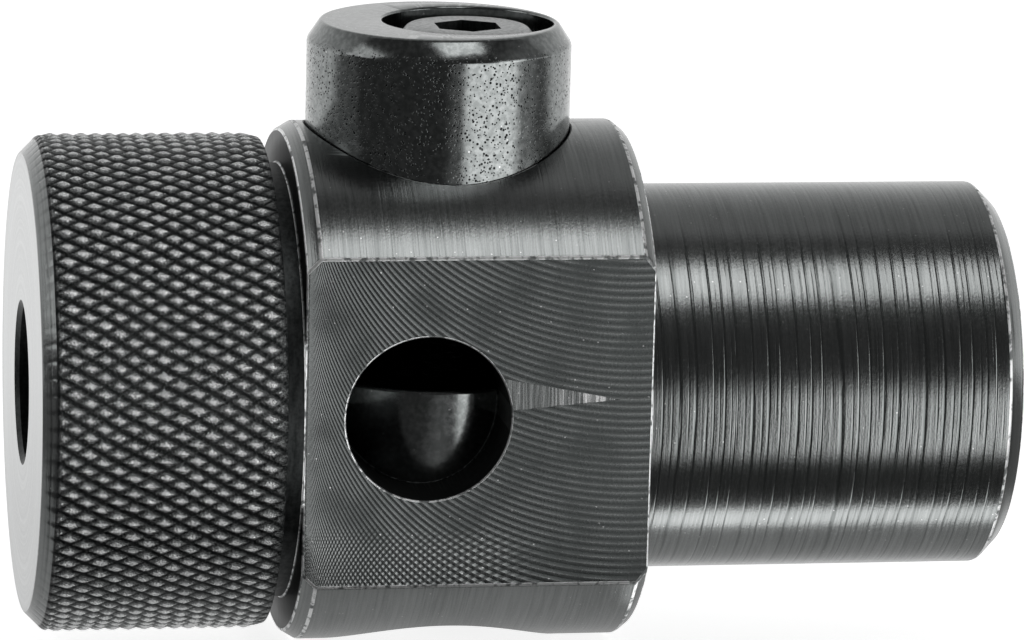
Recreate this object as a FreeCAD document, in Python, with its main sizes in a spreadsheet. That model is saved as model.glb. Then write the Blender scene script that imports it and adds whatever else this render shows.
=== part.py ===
"""Tapping chuck with a plain round shank, modelled as a parametric assembly.

The chuck lies along X. Its origin is on the axis at the shoulder where the head meets the
shank: +X runs out along the shank, the knurled nut is at -X, and +Z runs up the cross bore
that holds the two clamping jaws. The sight window is in the flat on the -Y side.
"""
import FreeCAD, Part
import math
import os

import Sketcher

SIZES = {
    "shank_dia": (25.0, "plain shank, the mounting interface"),
    "shank_length": (24.5, "shoulder to shank end"),
    "shank_chamfer": (1.1, "45 degree chamfer on the shank end"),
    "centre_mouth_dia": (5.3, "mouth of the lathe centre in the shank end"),
    "centre_pilot_dia": (2.5, "pilot of the lathe centre"),
    "centre_depth": (5.5, "full depth of the lathe centre"),
    "centre_angle": (30.0, "half angle of the lathe centre"),
    "head_dia": (33.5, "turned diameter of the head"),
    "head_front_wall": (1.55, "front end face of the head to the jaws"),
    "head_rear_wall": (3.65, "jaws to the shoulder"),
    "head_edge_radial": (0.55, "radial size of the head's edge chamfers"),
    "head_front_edge": (0.9, "axial size of the front edge chamfer"),
    "head_rear_edge": (0.7, "axial size of the rear edge chamfer"),
    "across_flats": (26.0, "across the two flats of the head"),
    "spigot_length": (9.4, "front end face of the head to spigot end"),
    "spigot_lead": (0.8, "lead chamfer of the spigot thread"),
    "nut_dia": (32.0, "over the knurl"),
    "nut_wall": (1.95, "wall of the nut around its thread"),
    "nut_length": (15.2, "overall length of the nut"),
    "nut_gap": (1.35, "open gap between nut and head"),
    "nut_face_chamfer": (1.25, "plain 45 degree chamfer before the knurl"),
    "nut_back_edge": (1.2, "axial size of the nut's back edge"),
    "nut_back_drop": (0.3, "radial size of the nut's back edge"),
    "knurl_points": (60.0, "points of the knurl in one ring round the nut"),
    "knurl_depth": (0.38, "points of the knurl above its hollows"),
    "knurl_angle": (30.0, "grooves of the knurl off the nut's axis"),
    "nut_lip": (2.5, "thickness of the nut's front lip"),
    "nut_mouth_edge": (0.3, "chamfer at the mouth of the tap hole"),
    "nut_run_out": (1.5, "room left for the nut to travel onto the spigot"),
    "thread_fit": (0.05, "radial play between nut and spigot"),
    "tap_dia": (10.0, "tap hole in the nut's lip, largest tap shank"),
    "tap_passage": (0.2, "extra diameter of the passage behind the collet"),
    "cone_angle": (40.0, "half angle of both collet cones"),
    "cone_fit": (0.12, "radial play of the collet cones at rest"),
    "nose_dia": (14.0, "small end of the cone inside the nut"),
    "collet_dia": (20.0, "outer diameter of the collet"),
    "collet_fit": (0.1, "radial play of the collet in the spigot"),
    "collet_nose_gap": (0.6, "collet nose to the inside of the nut's lip"),
    "collet_tail_gap": (0.3, "collet tail to the floor of its socket"),
    "collet_tail_dia": (16.2, "small end of the rear cone"),
    "grip_dia": (9.0, "bore between the blade edges"),
    "rubber_bore_step": (0.3, "rubber stands back from the blade edges"),
    "rubber_skin_step": (0.15, "rubber stands back from the blade backs"),
    "blade_count": (12.0, "steel blades in the rubber collet"),
    "blade_thickness": (1.2, "thickness of one blade"),
    "tie_length": (5.0, "length of the rubber tie through each blade"),
    "tie_inner_dia": (12.4, "inner diameter of the rubber tie ring"),
    "tie_outer_dia": (16.4, "outer diameter of the rubber tie ring"),
    "floor_wall": (1.6, "wall between collet socket and cross bore"),
    "jaw_dia": (17.0, "both clamping jaws"),
    "jaw_fit": (0.05, "radial play of the jaws in the cross bore"),
    "jaw_top": (23.45, "upper jaw's top face above the chuck axis"),
    "jaw_bevel_width": (0.84, "radial size of the top bevel"),
    "jaw_bevel_height": (1.25, "axial size of the top bevel"),
    "jaw_edge": (0.2, "edge break on the other ends of the jaws"),
    "upper_face": (4.6, "upper jaw's clamping face above the axis, the pair pushed up"),
    "lower_face": (1.1, "lower jaw's clamping face above the axis, the pair pushed up"),
    "jaw_foot": (14.35, "lower jaw's foot below the axis"),
    "bore_edge": (0.3, "edge break of the cross bore under the head"),
    "vee_depth": (4.0, "depth of the 90 degree vee in each jaw"),
    "vee_root": (0.6, "width of the relief at the bottom of the vee"),
    "screw_offset": (1.83, "clamp screw behind the jaw axis, clear of the tap's square"),
    "screw_dia": (5.0, "M5 cap screw"),
    "screw_length": (30.0, "length under the head"),
    "screw_head_dia": (8.5, "head of the cap screw"),
    "screw_head_height": (5.0, "height of the cap screw's head"),
    "screw_head_edge": (0.4, "edge break of the cap screw's head"),
    "screw_key": (4.0, "hexagon key across flats"),
    "screw_key_depth": (2.6, "depth of the hexagon socket"),
    "screw_tip": (0.8, "chamfer at the screw's tip"),
    "screw_play": (0.05, "radial play of the screw in the lower jaw's thread"),
    "screw_hole_dia": (5.5, "clearance hole in the upper jaw"),
    "counterbore_dia": (11.0, "counterbore for the screw head and its washer"),
    "counterbore_depth": (6.35, "counterbore below the upper jaw's top face"),
    "washer_dia": (10.0, "washer under the screw head"),
    "washer_hole_dia": (5.3, "hole of the washer"),
    "washer_thickness": (1.0, "thickness of the washer"),
    "window_dia": (10.5, "sight window in the front flat"),
    "window_lead": (2.15, "window axis ahead of the jaw axis"),
    "window_height": (0.25, "window axis above the chuck axis"),
    "guide_dia": (4.0, "M4 guide screws in the back flat"),
    "guide_play": (0.02, "radial play of the guide screw threads"),
    "guide_recess": (0.4, "guide screw head below the flat"),
    "guide_wall": (0.25, "threaded part of the guide screw stops short of the cross bore"),
    "guide_key": (2.0, "hexagon socket of the guide screws"),
    "guide_key_depth": (1.6, "depth of that socket"),
    "dog_dia": (2.5, "dog point of the guide screws"),
    "dog_reach": (1.85, "dog point inside the cross bore"),
    "dog_play": (0.08, "play of the dog point in its keyway, each side"),
    "upper_guide_height": (7.9, "upper guide screw above the axis"),
    "dog_cover": (0.15, "keyway left above the lower dog point with the jaws fully open"),
    "float_up": (0.6, "jaw pair can rise from rest"),
    "float_down": (3.0, "jaw pair can sink from rest, to centre on the tap"),
    "jaws_close": (3.3, "jaws can close from rest"),
    "jaws_open": (1.6, "jaws can open from rest"),
    "end_play": (0.1, "keyway beyond the dog point at the ends of travel"),
}

CUT_OVER = 2.0

doc = FreeCAD.newDocument("tapping_chuck")


def fill_sheet():
    """Writes every driving size into one spreadsheet, a row each, with its alias."""
    sheet = doc.addObject("Spreadsheet::Sheet", "sheet")
    for row, (alias, (number, note)) in enumerate(SIZES.items(), start=1):
        sheet.set(f"A{row}", note)
        sheet.set(f"B{row}", str(number))
        sheet.setAlias(f"B{row}", alias)
    doc.recompute()


class Size:
    """A size that carries its number and the sheet expression that it comes from."""

    def __init__(self, number, text):
        self.number = number
        self.text = text

    def __add__(self, other):
        other = as_size(other)
        return Size(self.number + other.number, f"({self.text} + {other.text})")

    def __sub__(self, other):
        other = as_size(other)
        return Size(self.number - other.number, f"({self.text} - {other.text})")

    def __mul__(self, other):
        other = as_size(other)
        return Size(self.number * other.number, f"({self.text} * {other.text})")

    def __truediv__(self, other):
        other = as_size(other)
        return Size(self.number / other.number, f"({self.text} / {other.text})")

    def __neg__(self):
        return Size(-self.number, f"(-{self.text})")

    def tangent(self):
        """The tangent of a size that is an angle in degrees."""
        return Size(math.tan(math.radians(self.number)), f"tan({self.text} * 1 deg)")


def as_size(value):
    """A Size from a Size or a plain number."""
    if isinstance(value, Size):
        return value
    return Size(float(value), str(value))


def size(alias):
    """The Size kept in the sheet under this alias."""
    return Size(SIZES[alias][0], f"sheet.{alias}")


NOTHING = as_size(0)


def bind(thing, prop, value):
    """Drives one property from the sheet."""
    thing.setExpression(prop, as_size(value).text)


def new_body(name, base=(0, 0, 0)):
    """A body labelled as its node, with its own origin placed from the sheet."""
    body = doc.addObject("PartDesign::Body", name)
    body.Label = name
    for axis, value in zip("xyz", base):
        if as_size(value).number:
            bind(body, f"Placement.Base.{axis}", value)
    return body


def origin_part(body, role):
    """One of the body's own origin planes or axes."""
    return next(part for part in body.Origin.OriginFeatures if part.Role == role)


def new_sketch(body, name, plane, offset=NOTHING):
    """An empty sketch on one of the body's origin planes, moved along its normal."""
    sketch = body.newObject("Sketcher::SketchObject", name)
    sketch.AttachmentSupport = [(origin_part(body, plane), "")]
    sketch.MapMode = "FlatFace"
    if offset.number:
        bind(sketch, "AttachmentOffset.Base.z", offset)
    return sketch


def pin(sketch, curve, point, across, up):
    """Fixes a point of a curve at signed distances from the sketch's origin."""
    for kind, axis, value in (("DistanceX", -2, across), ("DistanceY", -1, up)):
        if value.number == 0:
            sketch.addConstraint(Sketcher.Constraint("PointOnObject", curve, point, axis))
            continue
        ends = (-1, 1, curve, point) if value.number > 0 else (curve, point, -1, 1)
        shown = value if value.number > 0 else -value
        index = sketch.addConstraint(Sketcher.Constraint(kind, *ends, shown.number))
        sketch.setExpression(f"Constraints[{index}]", shown.text)


def outline(body, name, plane, points, offset=NOTHING):
    """A closed outline of straight lines, with every corner driven by the sheet."""
    sketch = new_sketch(body, name, plane, offset)
    points = [(as_size(across), as_size(up)) for across, up in points]
    corners = [FreeCAD.Vector(across.number, up.number, 0) for across, up in points]
    for start, end in zip(corners, corners[1:] + corners[:1]):
        sketch.addGeometry(Part.LineSegment(start, end))
    for index in range(len(corners)):
        following = (index + 1) % len(corners)
        sketch.addConstraint(Sketcher.Constraint("Coincident", index, 2, following, 1))
    for index, (across, up) in enumerate(points):
        pin(sketch, index, 1, across, up)
    return sketch


def rings(body, name, plane, circles, offset=NOTHING):
    """Circles given as (across, up, diameter), each driven by the sheet."""
    sketch = new_sketch(body, name, plane, offset)
    for curve, (across, up, diameter) in enumerate(circles):
        across, up, diameter = as_size(across), as_size(up), as_size(diameter)
        centre = FreeCAD.Vector(across.number, up.number, 0)
        normal = FreeCAD.Vector(0, 0, 1)
        sketch.addGeometry(Part.Circle(centre, normal, diameter.number / 2))
        pin(sketch, curve, 3, across, up)
        index = sketch.addConstraint(Sketcher.Constraint("Diameter", curve, diameter.number))
        sketch.setExpression(f"Constraints[{index}]", diameter.text)
    return sketch


def keyway_sketch(body, name, low, high, radius):
    """A round-ended slot along Z, centred on the body's own Z axis, in the XZ plane."""
    sketch = new_sketch(body, name, "XZ_Plane")
    normal = FreeCAD.Vector(0, 0, 1)
    bottom = Part.Circle(FreeCAD.Vector(0, low.number, 0), normal, radius.number)
    top = Part.Circle(FreeCAD.Vector(0, high.number, 0), normal, radius.number)
    side = radius.number
    sketch.addGeometry(Part.ArcOfCircle(bottom, math.pi, 2 * math.pi))
    sketch.addGeometry(Part.ArcOfCircle(top, 0, math.pi))
    for across, start, end in ((side, low, high), (-side, high, low)):
        foot = FreeCAD.Vector(across, start.number, 0)
        tip = FreeCAD.Vector(across, end.number, 0)
        sketch.addGeometry(Part.LineSegment(foot, tip))
    for ends in ((0, 2, 2, 1), (2, 2, 1, 1), (1, 2, 3, 1), (3, 2, 0, 1)):
        sketch.addConstraint(Sketcher.Constraint("Tangent", *ends))
    pin(sketch, 0, 3, NOTHING, low)
    pin(sketch, 1, 3, NOTHING, high)
    index = sketch.addConstraint(Sketcher.Constraint("Radius", 0, radius.number))
    sketch.setExpression(f"Constraints[{index}]", radius.text)
    sketch.addConstraint(Sketcher.Constraint("Equal", 0, 1))
    return sketch


def hexagon(across_flats):
    """Corners of a hexagon with two of them on the first axis."""
    corner = across_flats / math.sqrt(3)
    half = across_flats / 2
    return [(corner, 0), (corner / 2, half), (-corner / 2, half),
            (-corner, 0), (-corner / 2, -half), (corner / 2, -half)]


def revolve(body, sketch, axis):
    """Turns an outline once round one of the body's own axes."""
    turned = body.newObject("PartDesign::Revolution", "turned_" + sketch.Name)
    turned.Profile = sketch
    turned.ReferenceAxis = (origin_part(body, axis), [""])
    turned.Angle = 360
    return turned


def cut(body, sketch, depth, away=False, both=False):
    """Pockets a sketch to a depth, against its normal or, with away, along it."""
    pocket = body.newObject("PartDesign::Pocket", "cut_" + sketch.Name)
    pocket.Profile = sketch
    pocket.SideType = "Symmetric" if both else "One side"
    pocket.Reversed = away
    bind(pocket, "Length", depth)
    return pocket


def checked_cut(body, *arguments, **options):
    """A pocket that is proved to take material away."""
    doc.recompute()
    before = body.Shape.Volume
    pocket = cut(body, *arguments, **options)
    doc.recompute()
    if body.Shape.Volume > before - 0.01:
        raise RuntimeError(f"{pocket.Name} cuts nothing")
    return pocket


fill_sheet()

JAW_X = -(size("head_rear_wall") + size("jaw_dia") / 2)
JAW_BORE_DIA = size("jaw_dia") + size("jaw_fit") * 2
HEAD_FRONT = JAW_X - size("jaw_dia") / 2 - size("head_front_wall")
HEAD_RADIUS = size("head_dia") / 2
SPIGOT_FRONT = HEAD_FRONT - size("spigot_length")
NUT_BORE = size("nut_dia") / 2 - size("nut_wall")
SPIGOT_RADIUS = NUT_BORE - size("thread_fit")
SOCKET_FLOOR = JAW_X - JAW_BORE_DIA / 2 - size("floor_wall")
SOCKET_RADIUS = size("collet_dia") / 2 + size("collet_fit")
NUT_BACK = HEAD_FRONT - size("nut_gap")
NUT_FRONT = NUT_BACK - size("nut_length")
NUT_SEAT = NUT_FRONT + size("nut_lip")
NUT_SHOULDER = SPIGOT_FRONT - size("nut_run_out")
COLLET_FRONT = NUT_SEAT + size("collet_nose_gap")
COLLET_BACK = SOCKET_FLOOR - size("collet_tail_gap")
COLLET_MIDDLE = (COLLET_FRONT + COLLET_BACK) / 2
CONE_SLOPE = size("cone_angle").tangent()
FLAT_Y = size("across_flats") / 2
SCREW_X = JAW_X + size("screw_offset")
HEAD_SEAT = size("jaw_top") - size("counterbore_depth") + size("washer_thickness")
DOG_END = JAW_BORE_DIA / 2 - size("dog_reach")
UPPER_GUIDE = size("upper_guide_height")
LOWER_GUIDE = (size("lower_face") - size("float_down") - size("jaws_open")
               - size("dog_dia") / 2 - size("dog_cover"))


def holder_body():
    """Shank, head and threaded spigot, turned from one bar, with all its bores."""
    body = new_body("holder_body")
    chamfer = size("shank_chamfer")
    mouth = size("centre_mouth_dia") / 2
    pilot = size("centre_pilot_dia") / 2
    cone_depth = (mouth - pilot) / size("centre_angle").tangent()
    shank_end = size("shank_length")
    drill_end = shank_end - size("centre_depth")
    passage = (size("tap_dia") + size("tap_passage")) / 2
    floor_radius = size("collet_tail_dia") / 2 + size("cone_fit")
    cone_length = (SOCKET_RADIUS - floor_radius) / CONE_SLOPE
    edge = HEAD_RADIUS - size("head_edge_radial")
    lead = size("spigot_lead")
    profile = outline(body, "holder_profile", "XZ_Plane", [
        (SPIGOT_FRONT, SOCKET_RADIUS),
        (SPIGOT_FRONT, SPIGOT_RADIUS - lead),
        (SPIGOT_FRONT + lead, SPIGOT_RADIUS),
        (HEAD_FRONT, SPIGOT_RADIUS),
        (HEAD_FRONT, edge),
        (HEAD_FRONT + size("head_front_edge"), HEAD_RADIUS),
        (-size("head_rear_edge"), HEAD_RADIUS),
        (0, edge),
        (0, size("shank_dia") / 2),
        (shank_end - chamfer, size("shank_dia") / 2),
        (shank_end, size("shank_dia") / 2 - chamfer),
        (shank_end, mouth),
        (shank_end - cone_depth, pilot),
        (drill_end, pilot),
        (drill_end, 0),
        (JAW_X, 0),
        (JAW_X, passage),
        (SOCKET_FLOOR, passage),
        (SOCKET_FLOOR, floor_radius),
        (SOCKET_FLOOR - cone_length, SOCKET_RADIUS),
    ])
    revolve(body, profile, "X_Axis")

    over = HEAD_RADIUS + CUT_OVER
    flat = outline(body, "flat", "XZ_Plane",
                   [(HEAD_FRONT, -over), (0, -over), (0, over), (HEAD_FRONT, over)], FLAT_Y)
    front = checked_cut(body, flat, size("head_dia"), away=True)
    mirrored = body.newObject("PartDesign::Mirrored", "both_flats")
    mirrored.Originals = [front]
    mirrored.MirrorPlane = (origin_part(body, "XZ_Plane"), [""])
    body.Tip = mirrored

    cross = rings(body, "cross_bore", "XY_Plane", [(JAW_X, 0, JAW_BORE_DIA)])
    checked_cut(body, cross, size("head_dia") + CUT_OVER, both=True)

    window = rings(body, "window", "XZ_Plane",
                   [(JAW_X - size("window_lead"), size("window_height"), size("window_dia"))])
    checked_cut(body, window, size("head_dia"), away=True)

    guides = rings(body, "guide_holes", "XZ_Plane",
                   [(JAW_X, UPPER_GUIDE, size("guide_dia")),
                    (JAW_X, LOWER_GUIDE, size("guide_dia"))])
    checked_cut(body, guides, size("head_dia"))

    break_bore_edge(body)
    return body


def break_bore_edge(body):
    """Breaks the saddle-shaped edge of the cross bore on the underside of the head."""
    doc.recompute()
    middle = JAW_X.number
    reach = JAW_BORE_DIA.number / 2
    names = []
    for number, edge in enumerate(body.Shape.Edges, start=1):
        box = edge.BoundBox
        round_bore = abs(box.Center.x - middle) < 0.01 and abs(box.XLength - 2 * reach) < 0.1
        if round_bore and box.ZMax < -HEAD_RADIUS.number / 2:
            names.append(f"Edge{number}")
    drilled = body.Tip
    rim = body.newObject("PartDesign::Chamfer", "bore_rim")
    rim.Base = (drilled, names)
    bind(rim, "Size", size("bore_edge"))
    body.Tip = rim


def read(value):
    """The number that the sheet gives for a Size."""
    return float(doc.sheet.evalExpression(value.text))


def knurled_bar(start, length):
    """A bar with a diamond knurl: rings of points and hollows, joined by flat facets.

    Each ring takes points and hollows in turn, half a pitch on from the ring before, so the
    hollows line up along the two sets of grooves, and every facet leans on a groove.
    """
    steps = 2 * int(read(size("knurl_points")))
    crest = read(size("nut_dia")) / 2
    hollow = crest - read(size("knurl_depth"))
    row = math.tau * crest / steps / math.tan(math.radians(read(size("knurl_angle"))))
    rows = math.ceil(length / row) + 1
    middles = [FreeCAD.Vector(start - row + row * end, 0, 0) for end in (0, rows)]
    corners = []
    for ring in range(rows + 1):
        for step in range(steps):
            radius = hollow if (ring + step) % 2 else crest
            angle = math.tau * step / steps
            corners.append(FreeCAD.Vector(start + row * (ring - 1), radius * math.cos(angle),
                                          radius * math.sin(angle)))
    facets = []
    for ring in range(rows):
        for step in range(steps):
            near, far = ring * steps, (ring + 1) * steps
            following = (step + 1) % steps
            cell = [near + step, near + following, far + following, far + step]
            if (ring + step) % 2 == 0:
                cell = cell[1:] + cell[:1]
            facets += [(cell[0], cell[1], cell[2]), (cell[0], cell[2], cell[3])]
    last = rows * steps
    for step in range(steps):
        following = (step + 1) % steps
        facets += [(len(corners), following, step),
                   (len(corners) + 1, last + step, last + following)]
    skin = Part.Shape()
    skin.makeShapeFromMesh((corners + middles, facets), 0.0001)
    return Part.makeSolid(skin)


def clamping_nut():
    """Knurled nut: threaded bore, cone for the collet and a lip with the tap hole.

    It is turned from knurled bar, so its outline is that of the waste round and inside it.
    """
    bar = doc.addObject("Part::Feature", "knurled_bar")
    bar.Shape = knurled_bar(read(NUT_FRONT), read(size("nut_length")))
    body = new_body("clamping_nut")
    body.BaseFeature = bar
    outer = size("nut_dia") / 2
    over = outer + CUT_OVER
    mouth = size("tap_dia") / 2
    mouth_edge = size("nut_mouth_edge")
    nose = size("nose_dia") / 2
    face = size("nut_face_chamfer")
    lead = size("spigot_lead") / 2
    drop = size("nut_back_drop")
    waste = outline(body, "nut_waste", "XZ_Plane", [
        (NUT_FRONT - CUT_OVER, 0),
        (NUT_FRONT - CUT_OVER, over),
        (NUT_FRONT + face + CUT_OVER, over),
        (NUT_FRONT, outer - face),
        (NUT_FRONT, mouth + mouth_edge),
        (NUT_FRONT + mouth_edge, mouth),
        (NUT_SEAT, mouth),
        (NUT_SEAT, nose),
        (NUT_SHOULDER, nose + (NUT_SHOULDER - NUT_SEAT) * CONE_SLOPE),
        (NUT_SHOULDER, NUT_BORE),
        (NUT_BACK - lead, NUT_BORE),
        (NUT_BACK, NUT_BORE + lead),
        (NUT_BACK, outer - drop),
        (NUT_BACK - size("nut_back_edge") * 2, outer + drop),
        (NUT_BACK - size("nut_back_edge") * 2, over),
        (NUT_BACK + CUT_OVER, over),
        (NUT_BACK + CUT_OVER, 0),
    ])
    groove = body.newObject("PartDesign::Groove", "turned_nut")
    groove.Profile = waste
    groove.ReferenceAxis = (origin_part(body, "X_Axis"), [""])
    groove.Angle = 360
    return body


def collet_outline(inset, inner, end_inset):
    """Half section of the collet: both cones, set in from the steel seats."""
    nose = size("nose_dia") / 2 - size("cone_fit") - inset
    tail = size("collet_tail_dia") / 2 - inset
    back = size("collet_dia") / 2 - inset
    front = COLLET_FRONT + end_inset
    rear = COLLET_BACK - end_inset
    nose_start = nose + (front - NUT_SEAT) * CONE_SLOPE
    tail_start = tail + end_inset * CONE_SLOPE
    return [
        (front, inner),
        (front, nose_start),
        (front + (back - nose_start) / CONE_SLOPE, back),
        (rear - (back - tail_start) / CONE_SLOPE, back),
        (rear, tail_start),
        (rear, inner),
    ]


def tie_outline():
    """Section of the rubber ring that passes through the windows of the blades."""
    inner = size("tie_inner_dia") / 2
    outer = size("tie_outer_dia") / 2
    front = COLLET_MIDDLE - size("tie_length") / 2
    rear = COLLET_MIDDLE + size("tie_length") / 2
    return [(front, inner), (rear, inner), (rear, outer), (front, outer)]


def half_pitch():
    """Half the angle between two blades, in degrees."""
    return as_size(180) / size("blade_count")


def turn_about_axis(body, angle):
    """Turns a body about the chuck axis by an angle from the sheet."""
    body.Placement.Rotation = FreeCAD.Rotation(FreeCAD.Vector(1, 0, 0), angle.number)
    bind(body, "Placement.Rotation.Angle", angle)


def collet_blade(index):
    """One steel blade of the collet, with the window that the rubber passes through."""
    body = new_body(f"collet_blade_{index + 1:02d}")
    grip = size("grip_dia") / 2
    plate = outline(body, f"plate_{index}", "XZ_Plane",
                    collet_outline(NOTHING, grip - size("rubber_bore_step"), NOTHING))
    pad = body.newObject("PartDesign::Pad", f"blade_{index}")
    pad.Profile = plate
    pad.SideType = "Symmetric"
    bind(pad, "Length", size("blade_thickness"))
    hole = outline(body, f"tie_window_{index}", "XZ_Plane", tie_outline())
    checked_cut(body, hole, size("blade_thickness") * 2, both=True)
    edge = rings(body, f"grip_edge_{index}", "YZ_Plane", [(0, 0, size("grip_dia"))],
                 COLLET_FRONT - CUT_OVER)
    checked_cut(body, edge, size("nut_length"), away=True)
    turn_about_axis(body, half_pitch() * (2 * index + 1))
    return body


def collet_rubber():
    """Rubber of the collet: one turned ring with a slot for each blade, tied inside."""
    body = new_body("collet_rubber")
    inner = size("grip_dia") / 2 + size("rubber_bore_step")
    skin = size("rubber_skin_step")
    profile = outline(body, "rubber_profile", "XZ_Plane", collet_outline(skin, inner, skin))
    revolve(body, profile, "X_Axis")
    doc.recompute()

    slot = outline(body, "blade_slot", "XZ_Plane", [
        (COLLET_FRONT - CUT_OVER, 0), (COLLET_BACK + CUT_OVER, 0),
        (COLLET_BACK + CUT_OVER, size("collet_dia")),
        (COLLET_FRONT - CUT_OVER, size("collet_dia"))])
    add_inner_loop(slot, tie_outline())
    pocket = checked_cut(body, slot, size("blade_thickness"), both=True)
    pattern = body.newObject("PartDesign::PolarPattern", "blade_slots")
    pattern.Originals = [pocket]
    pattern.Axis = (origin_part(body, "X_Axis"), [""])
    pattern.Angle = 360
    bind(pattern, "Occurrences", size("blade_count"))
    body.Tip = pattern
    turn_about_axis(body, half_pitch())
    return body


def add_inner_loop(sketch, points):
    """Adds a second closed loop inside a sketch's outline, driven by the sheet."""
    first = sketch.GeometryCount
    corners = [FreeCAD.Vector(across.number, up.number, 0) for across, up in points]
    for start, end in zip(corners, corners[1:] + corners[:1]):
        sketch.addGeometry(Part.LineSegment(start, end))
    for index, (across, up) in enumerate(points):
        following = first + (index + 1) % len(points)
        sketch.addConstraint(
            Sketcher.Constraint("Coincident", first + index, 2, following, 1))
        pin(sketch, first + index, 1, across, up)


def vee_outline(face, way):
    """A 90 degree vee with a flat relief, open past the face; way is +1 up or -1 down."""
    depth = size("vee_depth")
    root = size("vee_root") / 2
    wide = depth + CUT_OVER
    return [(-wide, face - as_size(way) * CUT_OVER), (wide, face - as_size(way) * CUT_OVER),
            (root, face + as_size(way) * (depth - root)),
            (-root, face + as_size(way) * (depth - root))]


def mill_jaw(body, name, face, way, keyway_low, keyway_high, bore_dia):
    """Vee, screw hole and guide keyway that both jaws have."""
    reach = size("jaw_top") * 2
    vee = outline(body, name + "_vee", "YZ_Plane", vee_outline(face, way))
    checked_cut(body, vee, size("jaw_dia") + CUT_OVER, both=True)
    hole = rings(body, name + "_screw_hole", "XY_Plane", [(size("screw_offset"), 0, bore_dia)])
    checked_cut(body, hole, reach * 2, both=True)
    keyway = keyway_sketch(body, name + "_keyway", keyway_low, keyway_high,
                           size("dog_dia") / 2 + size("dog_play"))
    bind(keyway, "AttachmentOffset.Base.z", -(DOG_END - size("dog_play") * 2))
    checked_cut(body, keyway, size("jaw_dia"))


def upper_jaw():
    """Jaw that stands out of the head, counterbored for the clamp screw."""
    body = new_body("upper_jaw", (JAW_X, 0, 0))
    radius = size("jaw_dia") / 2
    face = size("upper_face")
    top = size("jaw_top")
    edge = size("jaw_edge")
    profile = outline(body, "upper_profile", "XZ_Plane", [
        (0, face), (radius - edge, face), (radius, face + edge),
        (radius, top - size("jaw_bevel_height")),
        (radius - size("jaw_bevel_width"), top), (0, top)])
    revolve(body, profile, "Z_Axis")
    mill_jaw(body, "upper", face, 1,
             UPPER_GUIDE - size("float_up") - size("end_play"),
             UPPER_GUIDE + size("float_down") + size("end_play"), size("screw_hole_dia"))
    counterbore = rings(body, "counterbore", "XY_Plane",
                        [(size("screw_offset"), 0, size("counterbore_dia"))], top)
    checked_cut(body, counterbore, size("counterbore_depth"))
    return body


def lower_jaw():
    """Jaw under the tap's square, threaded for the clamp screw."""
    body = new_body("lower_jaw", (JAW_X, 0, 0))
    radius = size("jaw_dia") / 2
    face = size("lower_face")
    foot = -size("jaw_foot")
    edge = size("jaw_edge")
    profile = outline(body, "lower_profile", "XZ_Plane", [
        (0, foot), (radius - edge, foot), (radius, foot + edge),
        (radius, face - edge), (radius - edge, face), (0, face)])
    revolve(body, profile, "Z_Axis")
    highest = size("float_up") + size("jaws_close")
    mill_jaw(body, "lower", face, -1,
             LOWER_GUIDE - highest - size("end_play"), face + size("dog_dia"),
             size("screw_dia") + size("screw_play") * 2)
    return body


def clamp_screw():
    """Hexagon socket cap screw that draws the jaws together."""
    body = new_body("clamp_screw", (SCREW_X, 0, HEAD_SEAT))
    radius = size("screw_dia") / 2
    head = size("screw_head_dia") / 2
    height = size("screw_head_height")
    edge = size("screw_head_edge")
    tip = size("screw_tip")
    length = size("screw_length")
    profile = outline(body, "screw_profile", "XZ_Plane", [
        (0, -length), (radius - tip, -length), (radius, tip - length), (radius, 0),
        (head, 0), (head, height - edge), (head - edge, height), (0, height)])
    revolve(body, profile, "Z_Axis")
    socket = outline(body, "screw_socket", "XY_Plane", hexagon(size("screw_key")), height)
    checked_cut(body, socket, size("screw_key_depth"))
    return body


def screw_washer():
    """Flat washer between the screw head and the floor of the counterbore."""
    body = new_body("screw_washer", (SCREW_X, 0, HEAD_SEAT - size("washer_thickness")))
    ring = rings(body, "washer_ring", "XY_Plane",
                 [(0, 0, size("washer_dia")), (0, 0, size("washer_hole_dia"))])
    pad = body.newObject("PartDesign::Pad", "washer")
    pad.Profile = ring
    bind(pad, "Length", size("washer_thickness"))
    return body


def guide_screw(name, height):
    """Dog point set screw in the back flat whose point runs in a jaw's keyway."""
    body = new_body(name, (JAW_X, 0, height))
    radius = size("guide_dia") / 2 - size("guide_play")
    dog = size("dog_dia") / 2
    shoulder = JAW_BORE_DIA / 2 + size("guide_wall")
    outer = FLAT_Y - size("guide_recess")
    edge = size("jaw_edge")
    profile = outline(body, name + "_profile", "XY_Plane", [
        (0, DOG_END), (dog - edge, DOG_END), (dog, DOG_END + edge), (dog, shoulder),
        (radius, shoulder), (radius, outer - edge), (radius - edge, outer), (0, outer)])
    revolve(body, profile, "Y_Axis")
    socket = outline(body, name + "_socket", "XZ_Plane", hexagon(size("guide_key")), -outer)
    checked_cut(body, socket, size("guide_key_depth"), away=True)
    return body


def build():
    """Makes every piece and returns the bodies that become nodes."""
    bodies = [
        holder_body(),
        clamping_nut(),
        collet_rubber(),
        upper_jaw(),
        lower_jaw(),
        clamp_screw(),
        screw_washer(),
        guide_screw("guide_screw_upper", UPPER_GUIDE),
        guide_screw("guide_screw_lower", LOWER_GUIDE),
    ]
    for index in range(int(size("blade_count").number)):
        bodies.append(collet_blade(index))
    return bodies


def check(bodies):
    """Stops on a failed object or a node without one valid solid."""
    for thing in doc.Objects:
        if "Invalid" in thing.State or "Error" in thing.State:
            raise RuntimeError(f"{thing.Name} failed: {thing.State}")
    for body in bodies:
        shape = body.Shape
        if shape.isNull() or not shape.isValid() or len(shape.Solids) != 1:
            raise RuntimeError(f"{body.Label} is not one valid solid")


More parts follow.
